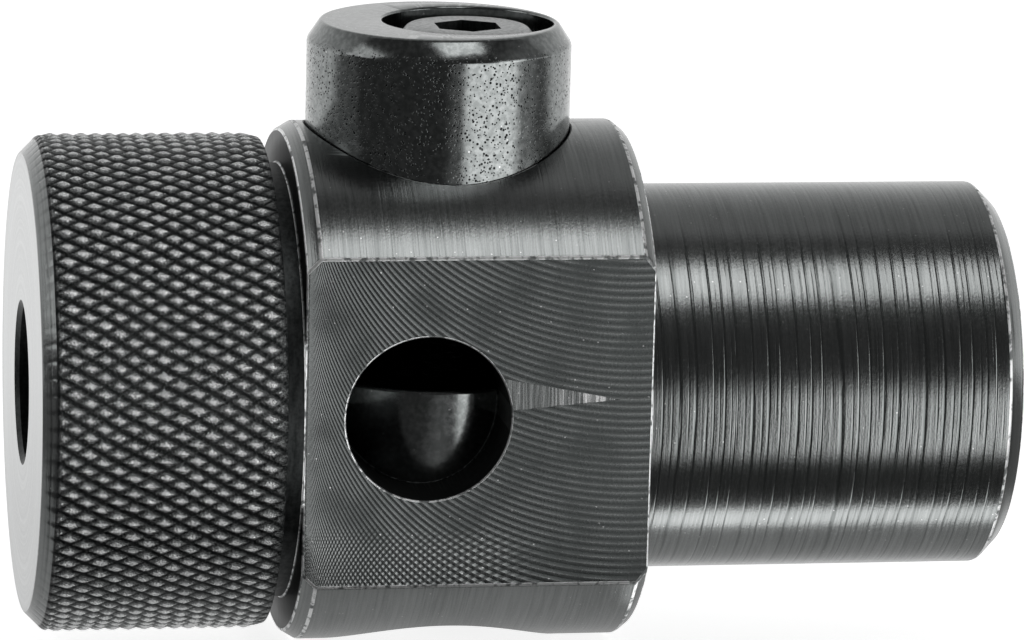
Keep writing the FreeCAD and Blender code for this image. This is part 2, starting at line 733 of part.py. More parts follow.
nodes = build()
doc.recompute()
check(nodes)
os.makedirs("parts", exist_ok=True)
for node in nodes:
    node.Shape.exportStep(f"parts/{node.Label}.step")
    extent = node.Shape.BoundBox
    print(node.Label, round(node.Shape.Volume, 2),
          [round(v, 3) for v in (extent.XMin, extent.XMax, extent.YMin, extent.YMax,
                                 extent.ZMin, extent.ZMax)])
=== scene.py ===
"""Looks of a tapping chuck: modelled pieces, burnished steel finishes, studio and camera.

Sizes are in millimetres and become metres where a mesh is made. The chuck lies along X with
its shank at +X, the two clamping jaws stand along Z, and the sight window faces -Y.
"""
import logging
import math
from dataclasses import dataclass, field
from enum import Enum
from typing import Callable, Iterable, Sequence

import bmesh
import bpy
from mathutils import Matrix, Vector


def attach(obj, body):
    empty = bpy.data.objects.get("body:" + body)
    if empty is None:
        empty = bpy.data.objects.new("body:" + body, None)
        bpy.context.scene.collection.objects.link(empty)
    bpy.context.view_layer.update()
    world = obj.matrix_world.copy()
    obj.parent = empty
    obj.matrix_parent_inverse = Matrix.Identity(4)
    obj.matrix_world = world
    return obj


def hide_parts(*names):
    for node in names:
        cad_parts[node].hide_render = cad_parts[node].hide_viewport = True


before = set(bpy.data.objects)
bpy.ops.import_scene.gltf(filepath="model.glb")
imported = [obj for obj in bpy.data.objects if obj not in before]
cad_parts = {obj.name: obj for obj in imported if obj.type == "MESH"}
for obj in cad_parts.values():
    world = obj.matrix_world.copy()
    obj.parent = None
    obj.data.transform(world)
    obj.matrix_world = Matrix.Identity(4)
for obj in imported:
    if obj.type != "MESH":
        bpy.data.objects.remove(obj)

logging.basicConfig(level=logging.INFO, format="%(message)s")
log = logging.getLogger("tapping_chuck")

MM = 0.001
ACROSS = Vector((0, 1, 0))
JAW_X = -12.15
GUIDE_HEIGHTS = (7.9, -4.9)
THROUGH = 60.0
Profile = list[tuple[float, float]]
Number = "Wire | float"


class Axis(Enum):
    """The two directions that the chuck's pieces are turned about."""

    SHANK = (Vector((1, 0, 0)), Vector((0, 0, 1)))
    JAWS = (Vector((0, 0, 1)), Vector((1, 0, 0)))

    @property
    def along(self) -> Vector:
        """Unit vector of the turning axis."""
        return self.value[0]

    @property
    def out(self) -> Vector:
        """Unit vector that a profile's radius is measured along."""
        return self.value[1]


class Wire:
    """A shader socket that takes part in sums as a number does."""

    def __init__(self, graph: "Graph", socket: bpy.types.NodeSocket) -> None:
        """Wraps one output socket.

        Args:
            graph: the graph that the socket's node belongs to.
            socket: the output socket.
        """
        self.graph = graph
        self.socket = socket

    def __add__(self, other: Number) -> "Wire":
        """Sum."""
        return self.graph.maths("ADD", self, other)

    def __radd__(self, other: Number) -> "Wire":
        """Sum with a number on the left."""
        return self.graph.maths("ADD", other, self)

    def __sub__(self, other: Number) -> "Wire":
        """Difference."""
        return self.graph.maths("SUBTRACT", self, other)

    def __rsub__(self, other: Number) -> "Wire":
        """Difference from a number on the left."""
        return self.graph.maths("SUBTRACT", other, self)

    def __mul__(self, other: Number) -> "Wire":
        """Product."""
        return self.graph.maths("MULTIPLY", self, other)

    def __rmul__(self, other: Number) -> "Wire":
        """Product with a number on the left."""
        return self.graph.maths("MULTIPLY", other, self)

    def __truediv__(self, other: Number) -> "Wire":
        """Quotient."""
        return self.graph.maths("DIVIDE", self, other)

    def __abs__(self) -> "Wire":
        """Size without sign."""
        return self.graph.maths("ABSOLUTE", self)

    def fraction(self) -> "Wire":
        """What is left after the whole number below."""
        return self.graph.maths("FRACT", self)

    def root(self) -> "Wire":
        """Square root."""
        return self.graph.maths("SQRT", self)

    def most(self, other: Number) -> "Wire":
        """The larger of two."""
        return self.graph.maths("MAXIMUM", self, other)

    def rise(self, low: float, high: float) -> "Wire":
        """Smooth step from 0 at low to 1 at high, or falling where low is above high.

        Args:
            low: value where the step is 0.
            high: value where the step is 1.

        Returns:
            The step, from 0 to 1.
        """
        start, stop = (low, high) if low < high else (high, low)
        ends = (0.0, 1.0) if low < high else (1.0, 0.0)
        node = self.graph.add(
            "ShaderNodeMapRange", {"interpolation_type": "SMOOTHSTEP"},
            {"Value": self, "From Min": start, "From Max": stop,
             "To Min": ends[0], "To Max": ends[1]})
        return self.graph.wire(node, "Result")

    def ridge(self, width: float) -> "Wire":
        """Thin line at each whole number: 1 on the line, 0 beyond width of a period."""
        return abs((self + 0.5).fraction() - 0.5).rise(width, 0.0)


class Graph:
    """The node tree of one finish, or of the world."""

    def __init__(self, tree: bpy.types.NodeTree) -> None:
        """Empties a tree and takes it over."""
        self.tree = tree
        self.tree.nodes.clear()

    def add(self, kind: str, settings: dict | None = None,
            inputs: dict | None = None) -> bpy.types.Node:
        """Adds a node.

        Args:
            kind: the node's type.
            settings: its own properties, set first.
            inputs: values or wires by the name or number of the socket.

        Returns:
            The node.
        """
        node = self.tree.nodes.new(kind)
        for key, value in (settings or {}).items():
            setattr(node, key, value)
        for key, value in (inputs or {}).items():
            if isinstance(value, Wire):
                self.tree.links.new(value.socket, node.inputs[key])
            else:
                node.inputs[key].default_value = value
        return node

    def wire(self, node: bpy.types.Node, name: str | int = 0) -> Wire:
        """One output of a node."""
        return Wire(self, node.outputs[name])

    def maths(self, operation: str, *values: Number) -> Wire:
        """One Math node."""
        node = self.add("ShaderNodeMath", {"operation": operation}, dict(enumerate(values)))
        return self.wire(node)

    def place(self) -> tuple[Wire, Wire, Wire]:
        """The point's own coordinates in millimetres."""
        coordinate = self.add("ShaderNodeTexCoord")
        parts = self.add("ShaderNodeSeparateXYZ", None,
                         {0: self.wire(coordinate, "Object")})
        x, y, z = (self.wire(parts, index) / MM for index in range(3))
        return x, y, z

    def vector(self, x: Number, y: Number, z: Number) -> Wire:
        """Three numbers as a vector."""
        return self.wire(self.add("ShaderNodeCombineXYZ", None, {0: x, 1: y, 2: z}))

    def noise(self, where: Wire, detail: float = 2.0, rough: float = 0.5,
              seed: float = 0.0) -> Wire:
        """Cloudy noise about 0.5, one lump to a unit of the vector.

        Args:
            where: position, in lumps.
            detail: how many finer layers it has.
            rough: how strong the finer layers are.
            seed: fourth coordinate, which gives another pattern.

        Returns:
            The noise.
        """
        node = self.add("ShaderNodeTexNoise", {"noise_dimensions": "4D"},
                        {"Vector": where, "W": seed, "Scale": 1.0, "Detail": detail,
                         "Roughness": rough})
        return self.wire(node, 0)

    def cells(self, where: Wire, output: str = "Distance") -> Wire:
        """Distance to the nearest of scattered points, one to a unit, or their colour."""
        node = self.add("ShaderNodeTexVoronoi", {"voronoi_dimensions": "3D"},
                        {"Vector": where, "Scale": 1.0})
        return self.wire(node, output)

    def blend(self, share: Number, low: Sequence[float] | Wire,
              high: Sequence[float] | Wire) -> Wire:
        """Colour between two, by a share from 0 to 1."""
        low = low if isinstance(low, Wire) else (*low, 1.0)
        high = high if isinstance(high, Wire) else (*high, 1.0)
        node = self.add("ShaderNodeMix", {"data_type": "RGBA"}, {0: share, 6: low, 7: high})
        return self.wire(node, 2)

    def bump(self, height: Wire, depth: float) -> Wire:
        """Surface direction from a height.

        Args:
            height: the relief, from 0 to 1.
            depth: how far a height of 1 stands out, in millimetres.

        Returns:
            The direction, for a shader's Normal.
        """
        node = self.add("ShaderNodeBump", None,
                        {"Strength": 1.0, "Distance": depth * MM, "Height": height})
        return self.wire(node)

    def shade(self, **inputs: object) -> None:
        """Closes a surface with one shader; a name's underscore stands for a space."""
        named = {key.replace("_", " "): value for key, value in inputs.items()}
        shader = self.add("ShaderNodeBsdfPrincipled", None, named)
        output = self.add("ShaderNodeOutputMaterial")
        self.tree.links.new(shader.outputs[0], output.inputs["Surface"])


def new_finish(name: str) -> tuple[bpy.types.Material, Graph]:
    """An empty material and its graph."""
    material = bpy.data.materials.new(name)
    material.use_nodes = True
    return material, Graph(material.node_tree)


class Finish:
    """A material that is made from a finish's own numbers."""

    name: str

    def build(self) -> bpy.types.Material:
        """Makes the material.

        Returns:
            The material.
        """
        material, graph = new_finish(self.name)
        self.draw(graph, *graph.place())
        return material

    def draw(self, graph: Graph, x: Wire, y: Wire, z: Wire) -> None:
        """Shades the surface, by the point's own coordinates in millimetres.

        Args:
            graph: the material's graph.
            x: distance along the shank.
            y: distance across the flats.
            z: height.
        """
        raise NotImplementedError


@dataclass(frozen=True)
class TurnedSteel(Finish):
    """Burnished steel with feed lines around an axis, as on the shank and the head."""

    name: str = "shank_steel"
    dark: tuple[float, float, float] = (0.13, 0.138, 0.136)
    light: tuple[float, float, float] = (0.26, 0.27, 0.268)
    rough: float = 0.22
    feed: float = 0.95
    feed_width: float = 0.12
    feed_depth: float = 0.019
    grain_depth: float = 0.014

    def draw(self, graph: Graph, x: Wire, y: Wire, z: Wire) -> None:
        """Shades the surface."""
        along = x / self.feed
        around = graph.vector(along * 0.35, y * 0.014, z * 0.014)
        drift = graph.noise(around, detail=1.0)
        groove = (along + drift * 2.2).ridge(self.feed_width)
        between = (along * 2.0 + drift * 3.4 + 0.3).ridge(self.feed_width * 1.6)
        broken = graph.noise(graph.vector(along * 1.1, y * 0.18, z * 0.18), seed=3.0)
        grain = graph.noise(graph.vector(x * 5.0, y * 0.14, z * 0.14), detail=3.0, rough=0.7)
        grit = graph.noise(graph.vector(x * 7.0, y * 5.0, z * 5.0), detail=2.0, seed=5.0)
        deep = groove * broken.rise(0.2, 0.5) + between * broken.rise(0.62, 0.4) * 0.5
        deep = deep * (abs(z).rise(12.0, 8.5) * 0.75 + 0.25)
        relief = deep * (-self.feed_depth) + grain * self.grain_depth + grit * 0.006
        cloud = graph.noise(graph.vector(x * 0.12, y * 0.12, z * 0.12), seed=8.0)
        pale_share = (grain * 0.8 - deep * 0.3 + cloud * 0.5 + grit * 0.2).rise(0.35, 1.0)
        speck = graph.cells(graph.vector(x * 1.4, y * 1.4, z * 1.4)).rise(0.085, 0.05)
        colour = graph.blend(pale_share, self.dark, self.light)
        colour = graph.blend(speck * 0.5, colour, (0.6, 0.6, 0.6))
        graph.shade(Base_Color=colour, Metallic=1.0,
                    Roughness=self.rough + grit * 0.14 - 0.07,
                    Normal=graph.bump(relief, 1.0))


@dataclass(frozen=True)
class FacedSteel(Finish):
    """Steel faced across its end, with rings about the chuck's axis."""

    name: str = "faced_steel"
    dark: tuple[float, float, float] = (0.42, 0.43, 0.43)
    light: tuple[float, float, float] = (0.6, 0.61, 0.61)
    rough: float = 0.32
    ring: float = 0.28
    depth: float = 0.004

    def draw(self, graph: Graph, x: Wire, y: Wire, z: Wire) -> None:
        """Shades the surface."""
        radius = (y * y + z * z).root()
        fine = graph.noise(graph.vector(radius / self.ring, x * 0.3, 0.0), detail=3.0)
        grit = graph.noise(graph.vector(x * 5.0, y * 5.0, z * 5.0), detail=2.0, seed=2.0)
        colour = graph.blend((fine * 0.5 + grit * 0.5).rise(0.3, 0.7), self.dark, self.light)
        graph.shade(Base_Color=colour, Metallic=1.0, Roughness=self.rough + grit * 0.12 - 0.06,
                    Normal=graph.bump(fine * self.depth + grit * 0.0015, 1.0))


@dataclass(frozen=True)
class MilledSteel(Finish):
    """The flats of the head, swept by a large face mill that was fed along Z."""

    name: str = "milled_steel"
    dark: tuple[float, float, float] = (0.086, 0.093, 0.092)
    light: tuple[float, float, float] = (0.26, 0.27, 0.268)
    rough: float = 0.26
    cutter: float = 20.6
    cutter_x: float = -1.4
    feed: float = 0.47
    depth: float = 0.018
    crossed_top: float = -6.2
    rub_start: float = -9.3
    rub_end: float = -1.9
    rub_z: float = 1.75
    rub_half: float = 1.05

    def draw(self, graph: Graph, x: Wire, y: Wire, z: Wire) -> None:
        """Shades the surface."""
        across = x - self.cutter_x
        sweep = (self.cutter ** 2 - across * across).most(0.5).root()
        wander = graph.noise(graph.vector(x * 0.08, 0.0, z * 0.08), detail=1.0) * 0.5
        leading = abs(((z + sweep) / self.feed + wander).fraction() - 0.5) * 2.0
        trailing = abs(((z - sweep) / self.feed).fraction() - 0.5) * 2.0
        crossed = z.rise(self.crossed_top, self.crossed_top - 2.4) * x.rise(-6.0, -11.0)
        patch = graph.noise(graph.vector(x * 0.25, 0.0, z * 0.25), detail=2.0, seed=4.0)
        shown = patch.rise(0.25, 0.6) * 0.6 + 0.4
        shown = shown * (1.0 - x.rise(-16.5, -21.0) * 0.55)
        lines = leading * shown + trailing * crossed * 0.8
        grit = graph.noise(graph.vector(x * 6.0, y * 6.0, z * 6.0), detail=2.0, seed=1.0)
        length = self.rub_end - self.rub_start
        half = ((self.rub_end - x) / length).most(0.0) * self.rub_half
        rub = (half - abs(z - self.rub_z + (x - self.rub_start) * 0.05)).rise(0.0, 0.07)
        rub = rub * x.rise(-10.4, -10.2) * y.rise(1.0, -1.0)
        streak = graph.noise(graph.vector(x * 4.5, 0.0, z * 0.25), detail=2.0, seed=9.0)
        # Painted sheen: the flat turns paler over its last few millimetres towards the nut, for
        # light caught by the milling marks there.
        edge = x.rise(-17.5, -22.0)
        # pale_share mixes the milling marks, grit and that painted sheen; the rubbed wedge's wear
        # joins it below.
        pale_share = (lines * 0.75 + grit * 0.4 + edge * 0.4 - 0.3).rise(0.0, 1.1)
        pale_share = pale_share.most(rub * (streak.rise(0.3, 0.7) * 0.7 + 0.35))
        # Painted highlight: a pale glint blended into the colour along the narrow tip of the
        # rubbed wedge.
        painted_highlight = rub * x.rise(-7.0, -4.4) * streak.rise(0.42, 0.6)
        speck = graph.cells(graph.vector(x * 1.2, y * 1.2, z * 1.2)).rise(0.085, 0.05)
        colour = graph.blend(pale_share, self.dark, self.light)
        colour = graph.blend(painted_highlight * 0.8 + speck * 0.5, colour, (0.75, 0.75, 0.75))
        relief = lines * (1.0 - rub) * self.depth + grit * 0.002 + streak * rub * 0.012
        graph.shade(Base_Color=colour, Metallic=1.0, Roughness=self.rough + grit * 0.1 - 0.05,
                    Normal=graph.bump(relief, 1.0))


@dataclass(frozen=True)
class BurrSteel(Finish):
    """Bright, broken edge where machining and handling have rubbed the black off."""

    name: str = "bright_edge"
    dark: tuple[float, float, float] = (0.22, 0.23, 0.23)
    light: tuple[float, float, float] = (0.9, 0.91, 0.91)
    lump: float = 1.7
    low: float = 0.36
    high: float = 0.52

    def draw(self, graph: Graph, x: Wire, y: Wire, z: Wire) -> None:
        """Shades the surface."""
        tick = graph.noise(graph.vector(x * self.lump, y * self.lump, z * self.lump),
                           detail=2.0, rough=0.6)
        patch = graph.noise(graph.vector(x * 0.3, y * 0.3, z * 0.3), seed=6.0)
        bright = (tick + patch * 0.4 - 0.2).rise(self.low, self.high)
        graph.shade(Base_Color=graph.blend(bright, self.dark, self.light), Metallic=1.0,
                    Roughness=0.56 - bright * 0.08, Normal=graph.bump(tick, 0.03))


@dataclass(frozen=True)
class BoredSteel(Finish):
    """Dark walls of the bores, with the rings that a boring bar leaves; also painted shade in
    gaps.
    """

    name: str = "bored_and_shade_steel"
    dark: tuple[float, float, float] = (0.022, 0.024, 0.024)
    light: tuple[float, float, float] = (0.06, 0.064, 0.064)
    rough: float = 0.4

    def draw(self, graph: Graph, x: Wire, y: Wire, z: Wire) -> None:
        """Shades the surface."""
        rings = graph.noise(graph.vector(x * 3.0, y * 3.0, z * 0.4), detail=2.0)
        grit = graph.noise(graph.vector(x * 5.0, y * 5.0, z * 5.0), seed=3.0)
        colour = graph.blend((rings * 0.6 + grit * 0.4).rise(0.3, 0.7), self.dark, self.light)
        graph.shade(Base_Color=colour, Metallic=1.0, Roughness=self.rough + grit * 0.1,
                    Normal=graph.bump(rings, 0.01))


@dataclass(frozen=True)
class KnurledSteel(Finish):
    """Rolled diamond knurl: tips rubbed bright, valleys left black."""

    name: str = "knurled_steel"
    dark: tuple[float, float, float] = (0.022, 0.024, 0.024)
    middle: tuple[float, float, float] = (0.36, 0.372, 0.37)
    light: tuple[float, float, float] = (0.95, 0.96, 0.96)
    root: float = 15.62
    crest: float = 16.0
    rough: float = 0.2

    def draw(self, graph: Graph, x: Wire, y: Wire, z: Wire) -> None:
        """Shades the surface."""
        radius = (y * y + z * z).root()
        height = (radius - self.root) / (self.crest - self.root)
        grit = graph.noise(graph.vector(x * 6.5, y * 6.5, z * 6.5), detail=3.0, rough=0.75)
        patch = graph.noise(graph.vector(x * 0.5, y * 0.5, z * 0.5), seed=2.0)
        side = (height + grit * 0.8 - 0.4).rise(0.14, 0.7)
        tip = (height + grit * 0.8 + patch * 0.5 - 0.65).rise(0.52, 0.74)
        colour = graph.blend(side, self.dark, self.middle)
        colour = graph.blend(tip, colour, self.light)
        graph.shade(Base_Color=colour, Metallic=1.0,
                    Roughness=self.rough + grit * 0.12 - 0.06,
                    Normal=graph.bump(grit, 0.15))


@dataclass(frozen=True)
class PittedSteel(Finish):
    """Glossy blackened steel with small pits and dust, as on the jaws."""

    name: str = "pitted_steel"
    dark: tuple[float, float, float] = (0.16, 0.17, 0.168)
    light: tuple[float, float, float] = (0.25, 0.262, 0.26)
    rough: float = 0.17
    pit: float = 2.9
    pit_depth: float = 0.02
    pits_low: float = 11.0
    pits_high: float = 22.2

    def draw(self, graph: Graph, x: Wire, y: Wire, z: Wire) -> None:
        """Shades the surface."""
        close = graph.cells(graph.vector(x * self.pit, y * self.pit, z * self.pit))
        small = graph.cells(graph.vector(x * 4.4 + 7.0, y * 4.4, z * 4.4))
        crowd = graph.noise(graph.vector(x * 0.35, y * 0.35, z * 0.35), detail=1.0)
        pits = close.rise(0.26, 0.15) * crowd.rise(0.3, 0.5)
        pits = pits.most(small.rise(0.26, 0.14) * crowd.rise(0.25, 0.5))
        pits = pits * z.rise(self.pits_low, self.pits_low + 2.0)
        pits = pits * z.rise(self.pits_high + 0.4, self.pits_high)
        grit = graph.noise(graph.vector(x * 3.0, y * 3.0, z * 3.0), detail=3.0, seed=4.0)
        dust = graph.cells(graph.vector(x * 1.1 + 3.0, y * 1.1, z * 1.1)).rise(0.09, 0.05)
        colour = graph.blend(grit.rise(0.35, 0.7), self.dark, self.light)
        colour = graph.blend(pits, colour, (0.012, 0.013, 0.013))
        colour = graph.blend(dust * 0.6, colour, (0.62, 0.62, 0.62))
        graph.shade(Base_Color=colour, Metallic=1.0,
                    Roughness=self.rough + pits * 0.3 + grit * 0.1 - 0.05,
                    Normal=graph.bump(grit * 0.003 - pits * self.pit_depth, 1.0))


@dataclass(frozen=True)
class PlainSteel(Finish):
    """Small hardware: one colour range, grain and gloss by its own numbers."""

    name: str
    dark: tuple[float, float, float]
    light: tuple[float, float, float]
    rough: float
    grain: float = 4.0
    depth: float = 0.004

    def draw(self, graph: Graph, x: Wire, y: Wire, z: Wire) -> None:
        """Shades the surface."""
        where = graph.vector(x * self.grain, y * self.grain, z * self.grain)
        grit = graph.noise(where, detail=3.0, rough=0.6)
        colour = graph.blend(grit.rise(0.3, 0.7), self.dark, self.light)
        graph.shade(Base_Color=colour, Metallic=1.0, Roughness=self.rough + grit * 0.16 - 0.08,
                    Normal=graph.bump(grit, self.depth))


@dataclass(frozen=True)
class MouldedRubber(Finish):
    """Oil-resistant black rubber of the collet."""

    name: str = "moulded_rubber"
    dark: tuple[float, float, float] = (0.012, 0.012, 0.013)
    light: tuple[float, float, float] = (0.03, 0.03, 0.031)

    def draw(self, graph: Graph, x: Wire, y: Wire, z: Wire) -> None:
        """Shades the surface."""
        grit = graph.noise(graph.vector(x * 4.0, y * 4.0, z * 4.0), detail=4.0, rough=0.7)
        graph.shade(Base_Color=graph.blend(grit.rise(0.3, 0.7), self.dark, self.light),
                    Roughness=0.6 + grit * 0.2, Normal=graph.bump(grit, 0.03))


@dataclass
class Finishes:
    """Every material of the chuck, built once and shared by its pieces."""

    turned: bpy.types.Material = field(default_factory=lambda: TurnedSteel().build())
    head: bpy.types.Material = field(default_factory=lambda: TurnedSteel(
        "head_steel", feed=0.42, feed_width=0.14, feed_depth=0.007, grain_depth=0.01).build())
    faced: bpy.types.Material = field(default_factory=lambda: FacedSteel().build())
    shoulder: bpy.types.Material = field(default_factory=lambda: FacedSteel(
        "shoulder_steel", (0.12, 0.126, 0.125), (0.22, 0.228, 0.226), 0.36).build())
    milled: bpy.types.Material = field(default_factory=lambda: MilledSteel().build())
    burr: bpy.types.Material = field(default_factory=lambda: BurrSteel().build())
    # Dark bore steel, also painted as shade on the neck, the jaw's saddle rim and the screw.
    bored_and_shade: bpy.types.Material = field(default_factory=lambda: BoredSteel().build())
    knurled: bpy.types.Material = field(default_factory=lambda: KnurledSteel().build())
    pitted: bpy.types.Material = field(default_factory=lambda: PittedSteel().build())
    screw: bpy.types.Material = field(default_factory=lambda: PlainSteel(
        "black_oxide", (0.36, 0.37, 0.37), (0.62, 0.63, 0.63), 0.46).build())
    washer: bpy.types.Material = field(default_factory=lambda: PlainSteel(
        "oiled_steel", (0.16, 0.165, 0.165), (0.34, 0.35, 0.35), 0.4).build())
    blade: bpy.types.Material = field(default_factory=lambda: PlainSteel(
        "ground_steel", (0.2, 0.21, 0.21), (0.42, 0.43, 0.43), 0.32).build())
    rubber: bpy.types.Material = field(default_factory=lambda: MouldedRubber().build())


def deselect() -> None:
    """Leaves object mode with nothing selected, since an operator acts on all that is."""
    if bpy.context.object and bpy.context.object.mode != "OBJECT":
        bpy.ops.object.mode_set(mode="OBJECT")
    bpy.ops.object.select_all(action="DESELECT")


def pick(piece: bpy.types.Object) -> None:
    """Makes one object the only one that operators act on."""
    deselect()
    piece.select_set(True)
    bpy.context.view_layer.objects.active = piece


def settle(piece: bpy.types.Object) -> None:
    """Moves an object's place, turn and scale into its mesh."""
    pick(piece)
    bpy.ops.object.transform_apply(location=True, rotation=True, scale=True)


def turn(name: str, axis: Axis, origin: Vector, profile: Profile, steps: int
         ) -> bpy.types.Object:
    """Turns a blank: draws a profile point by point and spins it once round.

    Args:
        name: the new object's name.
        axis: what it is turned about.
        origin: where the profile's distances along the axis start, in millimetres.
        profile: (along, radius) points in millimetres, closed on the axis or on itself.
        steps: faces round the axis.

    Returns:
        The blank, with its place in its mesh.
    """
    points = [(origin + axis.along * along + axis.out * radius) * MM
              for along, radius in profile]
    deselect()
    bpy.ops.mesh.primitive_plane_add(size=MM, location=points[0])
    piece = bpy.context.object
    piece.name = piece.data.name = name
    settle(piece)
    bpy.ops.object.mode_set(mode="EDIT")
    bpy.ops.mesh.select_all(action="SELECT")
    bpy.ops.mesh.merge(type="CENTER")
    for here, there in zip(points, points[1:]):
        bpy.ops.mesh.extrude_region_move(TRANSFORM_OT_translate={"value": there - here})
    bpy.ops.mesh.select_all(action="SELECT")
    bpy.ops.mesh.spin(steps=steps, angle=math.tau, center=origin * MM, axis=axis.along)
    close_up()
    return piece


def close_up() -> None:
    """In edit mode, merges seams and poles, turns all faces outwards and leaves the mode."""
    bpy.ops.mesh.select_all(action="SELECT")
    bpy.ops.mesh.remove_doubles(threshold=1e-7)
    bpy.ops.mesh.normals_make_consistent(inside=False)
    bpy.ops.object.mode_set(mode="OBJECT")


def drill(axis: Vector, centre: Vector, radius: float, depth: float, sides: int = 128
          ) -> bpy.types.Object:
    """A round cutter, or a hexagonal one with six sides.

    Args:
        axis: direction of the cut.
        centre: middle of the cutter, in millimetres.
        radius: to its corners, in millimetres.
        depth: its whole length, in millimetres.
        sides: faces round it.

    Returns:
        The cutter.
    """
    deselect()
    bpy.ops.mesh.primitive_cylinder_add(
        vertices=sides, radius=radius * MM, depth=depth * MM, location=centre * MM,
        rotation=axis.to_track_quat("Z", "Y").to_euler())
    cutter = bpy.context.object
    settle(cutter)
    return cutter


def block(low: Vector, high: Vector) -> bpy.types.Object:
    """A box-shaped cutter between two corners, in millimetres."""
    deselect()
    bpy.ops.mesh.primitive_cube_add(size=1.0, location=(low + high) / 2 * MM)
    cutter = bpy.context.object
    cutter.scale = (high - low) * MM
    settle(cutter)
    return cutter


def apply(piece: bpy.types.Object, modifier: bpy.types.Modifier) -> None:
    """Applies one modifier."""
    pick(piece)
    bpy.ops.object.modifier_apply(modifier=modifier.name)


def carve(piece: bpy.types.Object, *cutters: bpy.types.Object) -> None:
    """Takes cutters out of a piece and throws them away."""
    for cutter in cutters:
        modifier = piece.modifiers.new("carve", "BOOLEAN")
        modifier.operation = "DIFFERENCE"
        modifier.solver = "EXACT"
        modifier.object = cutter
        apply(piece, modifier)
        bpy.data.objects.remove(cutter)


def soften(piece: bpy.types.Object, width: float,
           material: bpy.types.Material | None = None, sharp: float = 30.0) -> None:
    """Rounds every sharp edge a little and smooths the shading of what is between.

    Args:
        piece: the object.
        width: width of the rounding, in millimetres.
        material: what the new faces are given, or None for the piece's first material.
        sharp: edges that turn by more than this many degrees are rounded.
    """
    bevel = piece.modifiers.new("soften", "BEVEL")
    bevel.width = width * MM
    bevel.segments = 2
    bevel.limit_method = "ANGLE"
    bevel.angle_limit = math.radians(sharp)
    bevel.use_clamp_overlap = False
    bevel.material = piece.data.materials.find(material.name) if material else 0
    apply(piece, bevel)
    smooth(piece, 46.0)


def smooth(piece: bpy.types.Object, angle: float) -> None:
    """Smooths shading below an angle, led by the larger faces."""
    pick(piece)
    bpy.ops.object.shade_smooth_by_angle(angle=math.radians(angle))
    weighted = piece.modifiers.new("weighted", "WEIGHTED_NORMAL")
    weighted.keep_sharp = True
    weighted.weight = 100
    apply(piece, weighted)


def dress(piece: bpy.types.Object, *materials: bpy.types.Material) -> None:
    """Gives a piece its materials, the first one on every face."""
    piece.data.materials.clear()
    for material in materials:
        piece.data.materials.append(material)


def paint(piece: bpy.types.Object, material: bpy.types.Material,
          chosen: Callable[[Vector, Vector], bool]) -> None:
    """Gives a material to the faces that a test picks by centre in millimetres and normal."""
    slot = piece.data.materials.find(material.name)
    for face in piece.data.polygons:
        if chosen(face.center / MM, face.normal):
            face.material_index = slot


def triangle_wave(value: float) -> float:
    """0 at whole numbers and 1 halfway between them."""
    return 1.0 - abs(2.0 * (value - math.floor(value)) - 1.0)


